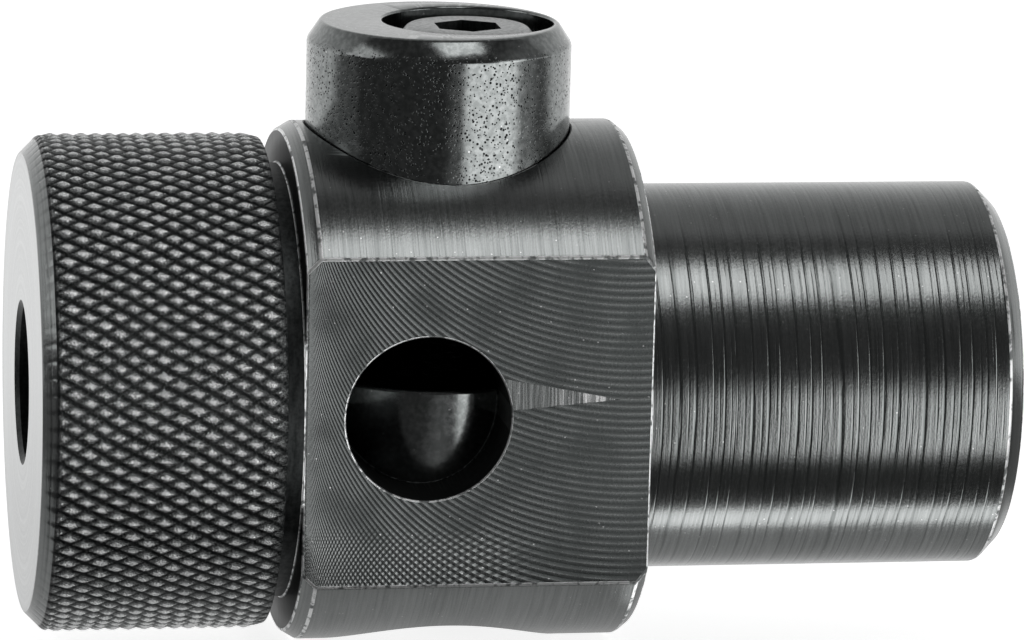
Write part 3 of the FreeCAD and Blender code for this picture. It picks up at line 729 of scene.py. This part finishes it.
@dataclass
class HolderBody:
    """Shank, head and threaded spigot, turned from one bar."""

    shank_radius: float = 12.5
    shank_end: float = 24.5
    shank_chamfer: float = 1.1
    head_radius: float = 16.75
    head_front: float = -22.2
    edge_drop: float = 0.55
    front_edge: float = 0.9
    rear_edge: float = 0.7
    flat_y: float = 13.0
    spigot_radius: float = 14.0
    spigot_front: float = -31.6
    spigot_lead: float = 0.8
    thread_pitch: float = 1.5
    thread_depth: float = 0.85
    thread_end: float = -24.7
    thread_rows: int = 10
    socket_radius: float = 10.1
    socket_floor: float = -22.3
    floor_radius: float = 8.22
    cone_length: float = 2.24
    passage_radius: float = 5.1
    centre_mouth: float = 2.65
    centre_pilot: float = 1.25
    centre_cone: float = 2.42
    centre_depth: float = 5.5
    jaw_x: float = JAW_X
    cross_radius: float = 8.55
    window: Vector = field(default_factory=lambda: Vector((-14.3, -13.0, 0.25)))
    window_radius: float = 5.25
    guide_radius: float = 2.0
    guide_heights: tuple[float, float] = GUIDE_HEIGHTS
    steps: int = 288

    def profile(self) -> Profile:
        """Closed section of the blank, from the spigot's mouth round to it again.

        Returns:
            Points (x, radius) in millimetres.
        """
        lead_end = self.spigot_front + self.spigot_lead
        row = self.thread_pitch / self.thread_rows
        rows = int((self.thread_end - lead_end) / row)
        threads = [(lead_end + row * index, self.spigot_radius) for index in range(rows + 1)]
        edge = self.head_radius - self.edge_drop
        cone_start = self.shank_end - self.centre_cone
        return [
            (self.spigot_front, self.socket_radius),
            (self.spigot_front, self.spigot_radius - self.spigot_lead),
            *threads,
            (self.head_front, self.spigot_radius),
            (self.head_front, edge),
            (self.head_front + self.front_edge, self.head_radius),
            (-self.rear_edge, self.head_radius),
            (0.0, edge),
            (0.0, self.shank_radius),
            (self.shank_end - self.shank_chamfer, self.shank_radius),
            (self.shank_end, self.shank_radius - self.shank_chamfer),
            (self.shank_end, self.centre_mouth),
            (cone_start, self.centre_pilot),
            (self.shank_end - self.centre_depth, self.centre_pilot),
            (self.shank_end - self.centre_depth, 0.0),
            (self.jaw_x, 0.0),
            (self.jaw_x, self.passage_radius),
            (self.socket_floor, self.passage_radius),
            (self.socket_floor, self.floor_radius),
            (self.socket_floor - self.cone_length, self.socket_radius),
            (self.spigot_front, self.socket_radius),
        ]

    def cut_thread(self, piece: bpy.types.Object) -> None:
        """Sinks a helical thread into the rows of the spigot."""
        lead_end = self.spigot_front + self.spigot_lead
        for vertex in piece.data.vertices:
            x, y, z = vertex.co / MM
            radius = math.hypot(y, z)
            if not lead_end - 0.01 < x < self.thread_end or radius < self.spigot_radius - 0.1:
                continue
            turned = math.atan2(z, y) / math.tau
            wave = triangle_wave(x / self.thread_pitch - turned)
            fade = min(1.0, (self.thread_end - x) / self.thread_pitch)
            depth = self.thread_depth * fade * max(0.0, min(1.0, wave * 1.25 - 0.12))
            scale = (radius - depth) / radius
            vertex.co = Vector((x, y * scale, z * scale)) * MM

    def build(self, finishes: Finishes) -> bpy.types.Object:
        """Models and dresses the body.

        Args:
            finishes: the shared materials.

        Returns:
            The piece.
        """
        piece = turn("holder_steel", Axis.SHANK, Vector(), self.profile(), self.steps)
        self.cut_thread(piece)
        reach = self.head_radius + 2.0
        front = block(Vector((self.head_front, -reach, -reach)),
                      Vector((1.0, -self.flat_y, reach)))
        back = block(Vector((self.head_front, self.flat_y, -reach)),
                     Vector((1.0, reach, reach)))
        cross = drill(Axis.JAWS.along, Vector((self.jaw_x, 0, 0)), self.cross_radius,
                      2 * reach, 192)
        window = drill(ACROSS, self.window, self.window_radius, 16.0, 160)
        guides = [drill(ACROSS, Vector((self.jaw_x, self.flat_y, height)),
                        self.guide_radius, 16.0, 48) for height in self.guide_heights]
        carve(piece, front, back, cross, window, *guides)
        dress(piece, finishes.turned, finishes.burr, finishes.milled, finishes.shoulder,
              finishes.bored_and_shade, finishes.head)
        paint(piece, finishes.head, lambda centre, normal: centre.x < -0.01)
        paint(piece, finishes.milled, self.is_flat)
        paint(piece, finishes.shoulder, self.is_end)
        paint(piece, finishes.bored_and_shade, self.is_bore)
        # The neck and the head's front face take the dark bore steel: their own black, deepened
        # as painted shade of the gap behind the nut.
        paint(piece, finishes.bored_and_shade, self.is_neck)
        soften(piece, 0.12, finishes.burr)
        # Painted shade: the rounded rim where the upper jaw leaves the head is made dark, as the
        # shadow of the gap round the jaw.
        paint(piece, finishes.bored_and_shade, self.is_saddle)
        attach(piece, "holder")
        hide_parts("holder_body")
        return piece

    def is_flat(self, centre: Vector, normal: Vector) -> bool:
        """True on the two milled flats."""
        return abs(normal.y) > 0.99 and abs(abs(centre.y) - self.flat_y) < 0.05

    def is_end(self, centre: Vector, normal: Vector) -> bool:
        """True on faces square to the axis."""
        return abs(normal.x) > 0.99

    def is_neck(self, centre: Vector, normal: Vector) -> bool:
        """True in the gap behind the nut: on the neck and on the head's front face, whose black
        is deepened as painted shade.
        """
        from_axis = math.hypot(centre.y, centre.z)
        on_front = abs(centre.x - self.head_front) < 0.01
        return on_front or (centre.x < self.head_front and from_axis > self.socket_radius)

    def is_saddle(self, centre: Vector, normal: Vector) -> bool:
        """True on the broken edge where the upper jaw leaves the head, painted dark as the shade
        of the gap there.
        """
        across = Vector((centre.x - self.jaw_x, centre.y, 0.0))
        inward = normal.dot(across) < -0.1 * across.length
        near = abs(across.length - self.cross_radius) < 0.14
        return near and inward and centre.z > self.window_radius and normal.z > 0.2

    def is_bore(self, centre: Vector, normal: Vector) -> bool:
        """True inside the socket, the cross bore, the window and the screw holes."""
        from_axis = math.hypot(centre.y, centre.z)
        if from_axis < self.shank_radius - self.shank_chamfer - 0.6:
            return abs(normal.x) < 0.99 or centre.x < self.head_front + 1.0
        across = math.hypot(centre.x - self.jaw_x, centre.y)
        on_cross = abs(across - self.cross_radius) < 0.05 and abs(normal.z) < 0.2
        sideways = math.hypot(normal.x, normal.z) > 0.99 and abs(normal.y) < 0.05
        inside = self.head_front + 1.0 < centre.x < -self.rear_edge - 0.05
        return on_cross or (sideways and inside and from_axis < self.head_radius - 0.2)


@dataclass
class ClampingNut:
    """Knurled nut with a real diamond knurl over its whole length."""

    front: float = -38.75
    back: float = -23.55
    radius: float = 16.0
    face_chamfer: float = 1.25
    back_edge: float = 1.2
    back_drop: float = 0.3
    knurl_depth: float = 0.36
    teeth: int = 92
    columns_per_tooth: int = 10
    row: float = 0.2
    helix: float = 30.0
    bore_radius: float = 14.05
    bore_lead: float = 0.4
    lip: float = 2.5
    mouth_radius: float = 5.0
    mouth_edge: float = 0.3
    nose_radius: float = 7.0
    shoulder: float = -33.1
    cone: float = 40.0
    round_edge: float = 0.06

    def envelope(self, x: float) -> float:
        """Radius of the blank before knurling: face chamfer, plain length, back edge."""
        from_face = self.radius - self.face_chamfer + (x - self.front)
        from_back = self.radius - self.back_drop * max(
            0.0, 1.0 - (self.back - x) / self.back_edge)
        return min(self.radius, from_face, from_back)

    def profile(self) -> Profile:
        """Closed section, from the mouth of the tap hole over the knurl and back inside.

        Returns:
            Points (x, radius) in millimetres.
        """
        start = self.front + self.face_chamfer - self.knurl_depth - 0.05
        rows = math.ceil((self.back - start) / self.row)
        length = self.back - start
        knurl = [start + length * index / rows for index in range(rows + 1)]
        seat = self.front + self.lip
        cone_radius = self.nose_radius + (self.shoulder - seat) * math.tan(
            math.radians(self.cone))
        face_radius = self.radius - self.face_chamfer
        small = self.round_edge
        return [
            (self.front + self.mouth_edge, self.mouth_radius),
            (self.front, self.mouth_radius + self.mouth_edge),
            (self.front, face_radius - small),
            (self.front + small * 0.4, face_radius + small * 0.4 - small * 0.3),
            (self.front + small, face_radius + small),
            *[(x, self.envelope(x)) for x in knurl],
            (self.back, self.bore_radius + self.bore_lead),
            (self.back - self.bore_lead, self.bore_radius),
            (self.shoulder, self.bore_radius),
            (self.shoulder, cone_radius),
            (seat, self.nose_radius),
            (seat, self.mouth_radius),
            (self.front + self.mouth_edge, self.mouth_radius),
        ]

    def knurl(self, piece: bpy.types.Object) -> None:
        """Rolls two crossing sets of helical grooves into the outside.

        One set is deeper than the other, and both wander a little, as rolled knurls do.
        """
        lead = math.tan(math.radians(self.helix))
        start = self.front + self.face_chamfer - self.knurl_depth - 0.04
        for vertex in piece.data.vertices:
            x, y, z = vertex.co / MM
            radius = math.hypot(y, z)
            if x < start or radius < self.radius - self.back_drop - 0.2:
                continue
            turned = math.atan2(z, y) / math.tau * self.teeth
            slide = (x - self.front) * lead * self.teeth / (math.tau * self.radius)
            wander = 0.07 * math.sin(turned * math.tau / self.teeth * 5.0 + x * 0.7)
            rubbed = 0.97 + 0.03 * math.sin(turned * 2.1 + x * 3.7)
            falling = triangle_wave(turned - slide + wander)
            rising = triangle_wave(turned + slide - wander * 0.5)
            height = min(1.0, 1.04 * falling, 0.14 + 1.0 * rising) * rubbed
            rolled = self.radius - self.knurl_depth * (1.0 - height)
            scale = min(radius, rolled) / radius
            vertex.co = Vector((x, y * scale, z * scale)) * MM

    def build(self, finishes: Finishes) -> bpy.types.Object:
        """Models and dresses the nut.

        Args:
            finishes: the shared materials.

        Returns:
            The piece.
        """
        steps = self.teeth * self.columns_per_tooth
        piece = turn("knurled_nut", Axis.SHANK, Vector(), self.profile(), steps)
        self.knurl(piece)
        dress(piece, finishes.knurled, finishes.faced, finishes.bored_and_shade, finishes.head,
              finishes.shoulder)
        paint(piece, finishes.head, self.is_edge)
        paint(piece, finishes.shoulder, lambda centre, normal: normal.x > 0.99)
        paint(piece, finishes.bored_and_shade, self.is_inside)
        paint(piece, finishes.faced,
              lambda centre, normal: centre.x < self.front + 0.01)
        smooth(piece, 38.0)
        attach(piece, "nut")
        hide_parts("clamping_nut")
        return piece

    def is_edge(self, centre: Vector, normal: Vector) -> bool:
        """True on the chamfer in front of the knurl."""
        return centre.x < self.front + self.face_chamfer - self.knurl_depth - 0.06

    def is_inside(self, centre: Vector, normal: Vector) -> bool:
        """True in the tap hole, the cone and the threaded bore."""
        from_axis = math.hypot(centre.y, centre.z)
        return from_axis < self.bore_radius + 0.2 and centre.x > self.front + 0.02


@dataclass
class UpperJaw:
    """Jaw that stands out of the head, with the off-centre counterbore."""

    x: float = JAW_X
    radius: float = 8.5
    face: float = 4.6
    top: float = 23.45
    bevel_width: float = 0.84
    bevel_height: float = 1.25
    edge: float = 0.2
    screw_offset: float = 1.83
    counterbore_radius: float = 5.5
    counterbore_depth: float = 6.35
    hole_radius: float = 2.75
    vee_depth: float = 4.0
    key_radius: float = 1.33
    key_floor: float = 6.5
    key_low: float = 7.2
    key_high: float = 11.0
    steps: int = 224

    def profile(self) -> Profile:
        """Half section from the clamping face to the top."""
        return [
            (self.face, 0.0),
            (self.face, self.radius - self.edge),
            (self.face + self.edge, self.radius),
            (self.top - self.bevel_height, self.radius),
            (self.top, self.radius - self.bevel_width),
            (self.top, 0.0),
        ]

    def build(self, finishes: Finishes) -> bpy.types.Object:
        """Models and dresses the jaw.

        Args:
            finishes: the shared materials.

        Returns:
            The piece.
        """
        centre = Vector((self.x, 0, 0))
        piece = turn("upper_jaw_steel", Axis.JAWS, centre, self.profile(), self.steps)
        screw = centre + Vector((self.screw_offset, 0, self.top))
        carve(piece,
              drill(Axis.JAWS.along, screw, self.counterbore_radius,
                    2 * self.counterbore_depth, 128),
              drill(Axis.JAWS.along, screw, self.hole_radius, THROUGH, 64),
              vee(centre, self.face, self.vee_depth, 1.0),
              keyway(centre, self.key_floor, self.key_low, self.key_high, self.key_radius))
        dress(piece, finishes.pitted, finishes.screw)
        soften(piece, 0.16)
        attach(piece, "upper_jaw")
        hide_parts("upper_jaw")
        return piece


@dataclass
class LowerJaw:
    """Jaw under the tap's square, threaded for the clamp screw."""

    x: float = JAW_X
    radius: float = 8.5
    face: float = 1.1
    foot: float = -14.35
    edge: float = 0.2
    screw_offset: float = 1.83
    hole_radius: float = 2.55
    vee_depth: float = 4.0
    key_radius: float = 1.33
    key_floor: float = 6.5
    key_low: float = -8.9
    key_high: float = 3.6
    steps: int = 224

    def profile(self) -> Profile:
        """Half section from the foot to the clamping face."""
        return [
            (self.foot, 0.0),
            (self.foot, self.radius - self.edge),
            (self.foot + self.edge, self.radius),
            (self.face - self.edge, self.radius),
            (self.face, self.radius - self.edge),
            (self.face, 0.0),
        ]

    def build(self, finishes: Finishes) -> bpy.types.Object:
        """Models and dresses the jaw.

        Args:
            finishes: the shared materials.

        Returns:
            The piece.
        """
        centre = Vector((self.x, 0, 0))
        piece = turn("lower_jaw_steel", Axis.JAWS, centre, self.profile(), self.steps)
        screw = centre + Vector((self.screw_offset, 0, self.face))
        carve(piece,
              drill(Axis.JAWS.along, screw, self.hole_radius, THROUGH, 64),
              vee(centre, self.face, self.vee_depth, -1.0),
              keyway(centre, self.key_floor, self.key_low, self.key_high, self.key_radius))
        dress(piece, finishes.pitted, finishes.screw)
        soften(piece, 0.14)
        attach(piece, "lower_jaw")
        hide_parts("lower_jaw")
        return piece


def vee(centre: Vector, face: float, depth: float, way: float) -> bpy.types.Object:
    """Square bar on edge that cuts a right-angled vee along X into a jaw's face.

    Args:
        centre: the jaw's axis.
        face: height of the face, in millimetres.
        depth: depth of the vee.
        way: 1 cuts upwards, -1 downwards.

    Returns:
        The cutter.
    """
    side = 12.0
    middle = Vector((centre.x, 0, face + way * (depth - side / math.sqrt(2))))
    deselect()
    bpy.ops.mesh.primitive_cube_add(size=1.0, location=middle * MM,
                                    rotation=(math.radians(45), 0, 0))
    cutter = bpy.context.object
    cutter.scale = Vector((30.0, side, side)) * MM
    settle(cutter)
    return cutter


def keyway(centre: Vector, floor: float, low: float, high: float, radius: float
           ) -> bpy.types.Object:
    """Round-ended cutter of a slot in a jaw's back: a short bar whose upper half is drawn up.

    Args:
        centre: the jaw's axis.
        floor: distance of the slot's floor from that axis.
        low: height of its lower round.
        high: height of its upper round.
        radius: half its width.

    Returns:
        The cutter.
    """
    depth = 8.0
    middle = Vector((centre.x, floor + depth / 2, low))
    cutter = drill(ACROSS, middle, radius, depth, 48)
    for vertex in cutter.data.vertices:
        if vertex.co.z > (low + 0.01) * MM:
            vertex.co.z += (high - low) * MM
    return cutter


@dataclass
class ClampScrew:
    """Hexagon socket cap screw with its thread and its knurled head."""

    x: float = -10.32
    seat: float = 18.1
    head_radius: float = 4.25
    head_height: float = 5.0
    head_edge: float = 0.4
    head_teeth: int = 48
    key_corner: float = 2.309
    key_depth: float = 2.6
    radius: float = 2.5
    length: float = 30.0
    tip: float = 0.8
    plain: float = 8.0
    pitch: float = 0.8
    depth: float = 0.46
    rows_per_pitch: int = 8
    steps: int = 96

    def profile(self) -> Profile:
        """Half section from the tip to the top of the head.

        Returns:
            Points (height above the seat, radius) in millimetres.
        """
        row = self.pitch / self.rows_per_pitch
        start = self.tip - self.length
        rows = int((-self.plain - start) / row)
        thread = [(start + row * index, self.radius) for index in range(rows + 1)]
        edge = self.head_edge
        return [
            (-self.length, 0.0),
            (-self.length, self.radius - self.tip),
            *thread,
            (0.0, self.radius),
            (0.0, self.head_radius - 0.15),
            (0.15, self.head_radius),
            (self.head_height - edge - 0.6, self.head_radius),
            (self.head_height - edge, self.head_radius - 0.05),
            (self.head_height - 0.1, self.head_radius - edge + 0.1),
            (self.head_height, self.head_radius - edge - 0.05),
            (self.head_height, 0.0),
        ]

    def cut_thread(self, piece: bpy.types.Object) -> None:
        """Sinks the thread into the shaft and the straight knurl into the head."""
        low, high = self.seat - self.length + self.tip, self.seat - self.plain
        for vertex in piece.data.vertices:
            x, y, z = vertex.co / MM
            across = Vector((x - self.x, y))
            radius = across.length
            turned = math.atan2(across.y, across.x) / math.tau
            depth = 0.0
            if low - 0.01 < z < high and radius > self.radius - 0.1:
                wave = triangle_wave(z / self.pitch - turned)
                fade = min(1.0, (high - z) / self.pitch)
                depth = self.depth * fade * max(0.0, min(1.0, wave * 1.25 - 0.12))
            elif self.seat + 0.1 < z < self.seat + 4.2 and radius > self.head_radius - 0.02:
                depth = 0.09 * triangle_wave(turned * self.head_teeth)
            if depth:
                across *= (radius - depth) / radius
                vertex.co = Vector((self.x + across.x, across.y, z)) * MM

    def build(self, finishes: Finishes) -> bpy.types.Object:
        """Models and dresses the screw.

        Args:
            finishes: the shared materials.

        Returns:
            The piece.
        """
        origin = Vector((self.x, 0, self.seat))
        piece = turn("cap_screw", Axis.JAWS, origin, self.profile(), self.steps)
        self.cut_thread(piece)
        top = origin + Vector((0, 0, self.head_height))
        socket = drill(Axis.JAWS.along, top, self.key_corner, 2 * self.key_depth, 6)
        carve(piece, socket)
        dress(piece, finishes.screw, finishes.bored_and_shade)
        # Painted shade: the shaft down in the jaws and the inside of the hexagon socket get the
        # dark bore steel.
        paint(piece, finishes.bored_and_shade, self.in_painted_shade)
        smooth(piece, 35.0)
        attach(piece, "screw")
        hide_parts("clamp_screw")
        return piece

    def in_painted_shade(self, centre: Vector, normal: Vector) -> bool:
        """True on the shaft and inside the hexagon socket, both painted dark as shade."""
        from_axis = math.hypot(centre.x - self.x, centre.y)
        in_socket = from_axis < self.key_corner and centre.z < self.seat + self.head_height
        return centre.z < self.seat or (in_socket and normal.z < 0.9)


@dataclass
class GuideScrew:
    """Dog point set screw in the back flat."""

    name: str
    node: str
    height: float
    x: float = JAW_X
    tip_y: float = 6.7
    outer_y: float = 12.6
    radius: float = 1.98
    dog_radius: float = 1.25
    shoulder_y: float = 8.8
    key_corner: float = 1.1547
    key_depth: float = 1.6

    def build(self, finishes: Finishes) -> bpy.types.Object:
        """Models and dresses the screw.

        Args:
            finishes: the shared materials.

        Returns:
            The piece.
        """
        length = self.outer_y - self.shoulder_y
        deselect()
        bpy.ops.mesh.primitive_cylinder_add(
            vertices=64, radius=self.radius * MM, depth=length * MM,
            location=Vector((self.x, (self.outer_y + self.shoulder_y) / 2, self.height)) * MM,
            rotation=(math.radians(90), 0, 0))
        piece = bpy.context.object
        piece.name = piece.data.name = self.name
        settle(piece)
        bpy.ops.object.mode_set(mode="EDIT")
        bpy.ops.mesh.select_mode(type="FACE")
        shaped = bmesh.from_edit_mesh(piece.data)
        for face in shaped.faces:
            face.select_set(face.normal.y < -0.9)
        bmesh.update_edit_mesh(piece.data)
        bpy.ops.mesh.inset(thickness=(self.radius - self.dog_radius) * MM)
        bpy.ops.mesh.extrude_region_move(
            TRANSFORM_OT_translate={"value": (0, (self.tip_y - self.shoulder_y) * MM, 0)})
        bpy.ops.object.mode_set(mode="OBJECT")
        socket = drill(ACROSS, Vector((self.x, self.outer_y, self.height)),
                       self.key_corner, 2 * self.key_depth, 6)
        carve(piece, socket)
        dress(piece, finishes.screw)
        soften(piece, 0.12)
        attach(piece, "holder")
        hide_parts(self.node)
        return piece


@dataclass
class Collet:
    """Washer, blades and rubber, whose shapes are already right."""

    blades: int = 12

    def build(self, finishes: Finishes) -> list[bpy.types.Object]:
        """Dresses the pieces.

        Args:
            finishes: the shared materials.

        Returns:
            The dressed pieces.
        """
        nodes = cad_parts
        dressed = {"collet_rubber": finishes.rubber, "screw_washer": finishes.washer}
        for index in range(self.blades):
            dressed[f"collet_blade_{index + 1:02d}"] = finishes.blade
        for name, material in dressed.items():
            dress(nodes[name], material)
        return [nodes[name] for name in dressed]


@dataclass
class PhotoCamera:
    """The photograph's view, found by fitting the chuck's edges to it."""

    turn_deg: float = 9.787
    rise_deg: float = 12.203
    roll_deg: float = 1.482
    shift_right: float = 5.799
    shift_down: float = 3.599
    distance: float = 400.845
    centre_x: float = -0.964
    focal_pixels: float = 6150.5
    frame_pixels: int = 1024
    sensor: float = 36.0

    def build(self) -> bpy.types.Object:
        """Makes the camera and gives it to the scene.

        Returns:
            The camera.
        """
        turned = (Matrix.Rotation(math.radians(self.roll_deg), 3, "Y")
                  @ Matrix.Rotation(math.radians(self.rise_deg), 3, "X")
                  @ Matrix.Rotation(math.radians(self.turn_deg), 3, "Z"))
        looking = Matrix(((1, 0, 0), (0, 0, -1), (0, 1, 0))) @ turned
        shift = Vector((self.shift_right, self.shift_down, self.distance))
        place = Vector((self.centre_x, 0, 0)) - looking.transposed() @ shift
        right, down, ahead = looking
        facing = Matrix((right, -down, -ahead)).transposed()
        data = bpy.data.cameras.new("photo_camera")
        data.sensor_width = self.sensor
        data.lens = self.focal_pixels / self.frame_pixels * self.sensor
        data.clip_start, data.clip_end = 0.01, 20.0
        camera = bpy.data.objects.new("photo_camera", data)
        camera.matrix_world = Matrix.Translation(place * MM) @ facing.to_4x4()
        bpy.context.scene.collection.objects.link(camera)
        bpy.context.scene.camera = camera
        return camera


@dataclass
class SoftBox:
    """One soft lamp, placed by direction and distance from the chuck."""

    name: str
    azimuth: float
    rise: float
    distance: float
    width: float
    height: float
    radiance: float

    def build(self) -> bpy.types.Object:
        """Makes the lamp: azimuth 0 is at -Y and 90 at +X, rise is above the horizon.

        Returns:
            The lamp.
        """
        azimuth, rise = math.radians(self.azimuth), math.radians(self.rise)
        way = Vector((math.sin(azimuth) * math.cos(rise),
                      -math.cos(azimuth) * math.cos(rise), math.sin(rise)))
        data = bpy.data.lights.new(self.name, "AREA")
        data.shape = "RECTANGLE"
        data.size, data.size_y = self.width, self.height
        data.energy = self.radiance * self.width * self.height * math.pi
        lamp = bpy.data.objects.new(self.name, data)
        lamp.location = way * self.distance
        lamp.rotation_mode = "QUATERNION"
        lamp.rotation_quaternion = way.to_track_quat("Z", "Y")
        lamp.visible_camera = False
        bpy.context.scene.collection.objects.link(lamp)
        return lamp


@dataclass
class Studio:
    """White sweep, pale floor and soft lamps, with dark cards that polished steel mirrors."""

    floor_z: float = -16.77
    floor_half: float = 3000.0
    floor_colour: float = 0.8
    floor_glow: float = 0.84
    card: float = 0.07
    lamps: tuple[SoftBox, ...] = (
        SoftBox("overhead_softbox", 22.0, 66.0, 0.7, 0.34, 0.27, 2.4),
        SoftBox("right_softbox", 58.0, 8.0, 0.8, 0.4, 0.3, 1.6),
        SoftBox("left_softbox", -84.0, 28.0, 0.8, 0.4, 0.5, 1.1),
    )

    def sky(self, graph: Graph) -> Wire:
        """Light of the room by direction: dark in front and overhead, pale behind.

        Args:
            graph: the world's graph.

        Returns:
            The tone, from 0 to 1.
        """
        coordinate = graph.add("ShaderNodeTexCoord")
        parts = graph.add("ShaderNodeSeparateXYZ", None, {0: graph.wire(coordinate, "Generated")})
        x, y, z = (graph.wire(parts, index) for index in range(3))
        behind = y.rise(0.12, 0.3)
        tone = self.card + behind * (z.rise(0.9, 0.1) * 0.6 + 0.25)
        low_right = (x + y * 0.16).rise(0.0, 0.12) * z.rise(0.14, 0.06) * (1.0 - behind)
        low_right = low_right * z.rise(-0.04, 0.0)
        slant = x / (-1.0 * y).most(0.05)
        lamp_glow = slant.rise(0.21, 0.29) * slant.rise(2.6, 1.5) * z.rise(0.0, -0.04)
        far_right = x.rise(0.55, 0.85) * (1.0 - behind) * z.rise(-0.04, 0.0)
        return tone + low_right * 0.8 + lamp_glow * 2.0 + far_right * 0.2

    def world(self) -> None:
        """White where the camera looks, graded where polished steel looks."""
        world = bpy.data.worlds.new("sweep")
        world.use_nodes = True
        bpy.context.scene.world = world
        graph = Graph(world.node_tree)
        seen = graph.add("ShaderNodeLightPath")
        camera = graph.wire(seen, "Is Camera Ray")
        strength = camera + (1.0 - camera) * self.sky(graph)
        shown = graph.add("ShaderNodeBackground", None,
                          {"Color": (1, 1, 1, 1), "Strength": strength})
        output = graph.add("ShaderNodeOutputWorld")
        graph.tree.links.new(shown.outputs[0], output.inputs[0])

    def mirrored(self, graph: Graph) -> tuple[Wire, Wire]:
        """Tone of the floor as polished steel mirrors it, by place.

        Args:
            graph: the floor's graph.

        Returns:
            The tone: white round the chuck, behind it and to the right, with a dark card
            close in front; and how much of the room shows through beyond that card.
        """
        x, y, _ = graph.place()
        ahead = -1.0 * y
        along = x - ahead * 0.172
        left_glow = along.rise(-13.0, -20.0) * along.rise(-42.0, -30.0)
        far = left_glow * 0.22 + along.rise(6.0, 32.0) * 0.4
        tone = y.rise(15.0, 90.0) * 0.25 + 0.9 - ahead.rise(-6.0, 4.0) * 0.4
        strip = ahead.rise(9.4, 10.0) * x.rise(-1.0, 2.0)
        tone = tone + strip * (2.8 - tone)
        tone = tone + ahead.rise(12.8, 13.6) * (self.card - tone)
        slant = x / ahead.most(1.0)
        side_card = x.rise(-70.0, -95.0) * y.rise(80.0, 60.0)
        side_card = side_card.most(slant.rise(2.5, 4.0) * x.rise(34.0, 44.0) * y.rise(60.0, 20.0))
        tone = tone + side_card * (0.2 - tone)
        beyond = ahead.rise(26.0, 34.0)
        return tone + beyond * (far - tone), beyond

    def floor(self) -> bpy.types.Object:
        """Pale floor under the chuck, white to the camera apart from the chuck's shadow."""
        deselect()
        bpy.ops.mesh.primitive_plane_add(size=2 * self.floor_half * MM,
                                         location=(0, 0, self.floor_z * MM))
        floor = bpy.context.object
        floor.name = "floor"
        material, graph = new_finish("pale_floor")
        seen = graph.add("ShaderNodeLightPath")
        eye = graph.wire(seen, "Is Camera Ray").most(graph.wire(seen, "Is Transmission Ray"))
        matt = graph.add("ShaderNodeBsdfDiffuse", None,
                         {"Color": (*[self.floor_colour] * 3, 1.0)})
        glow = graph.add("ShaderNodeEmission", None,
                         {"Color": (1, 1, 1, 1), "Strength": eye * self.floor_glow})
        both = graph.add("ShaderNodeAddShader")
        graph.tree.links.new(matt.outputs[0], both.inputs[0])
        graph.tree.links.new(glow.outputs[0], both.inputs[1])
        tone, beyond = self.mirrored(graph)
        near = graph.add("ShaderNodeEmission", None, {"Color": (1, 1, 1, 1), "Strength": tone})
        room = graph.add("ShaderNodeBsdfTransparent", None, {"Color": beyond})
        mirror = graph.add("ShaderNodeAddShader")
        graph.tree.links.new(near.outputs[0], mirror.inputs[0])
        graph.tree.links.new(room.outputs[0], mirror.inputs[1])
        choice = graph.add("ShaderNodeMixShader", None, {0: graph.wire(seen, "Is Glossy Ray")})
        graph.tree.links.new(both.outputs[0], choice.inputs[1])
        graph.tree.links.new(mirror.outputs[0], choice.inputs[2])
        output = graph.add("ShaderNodeOutputMaterial")
        graph.tree.links.new(choice.outputs[0], output.inputs["Surface"])
        dress(floor, material)
        return floor

    def build(self) -> None:
        """Sets up the whole studio."""
        self.world()
        self.floor()
        for lamp in self.lamps:
            lamp.build()
        bpy.context.scene.view_settings.view_transform = "Standard"


def main() -> None:
    """Builds the chuck piece by piece, then the studio and the camera."""
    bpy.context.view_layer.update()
    PhotoCamera().build()
    Studio().build()
    finishes = Finishes()
    pieces = [
        HolderBody().build(finishes),
        ClampingNut().build(finishes),
        UpperJaw().build(finishes),
        LowerJaw().build(finishes),
        ClampScrew().build(finishes),
        GuideScrew("upper_guide", "guide_screw_upper", GUIDE_HEIGHTS[0]).build(finishes),
        GuideScrew("lower_guide", "guide_screw_lower", GUIDE_HEIGHTS[1]).build(finishes),
        *Collet().build(finishes),
    ]
    for piece in pieces:
        log.info("%s: %d faces", piece.name, len(piece.data.polygons))
    deselect()


if __name__ == "__main__":
    main()
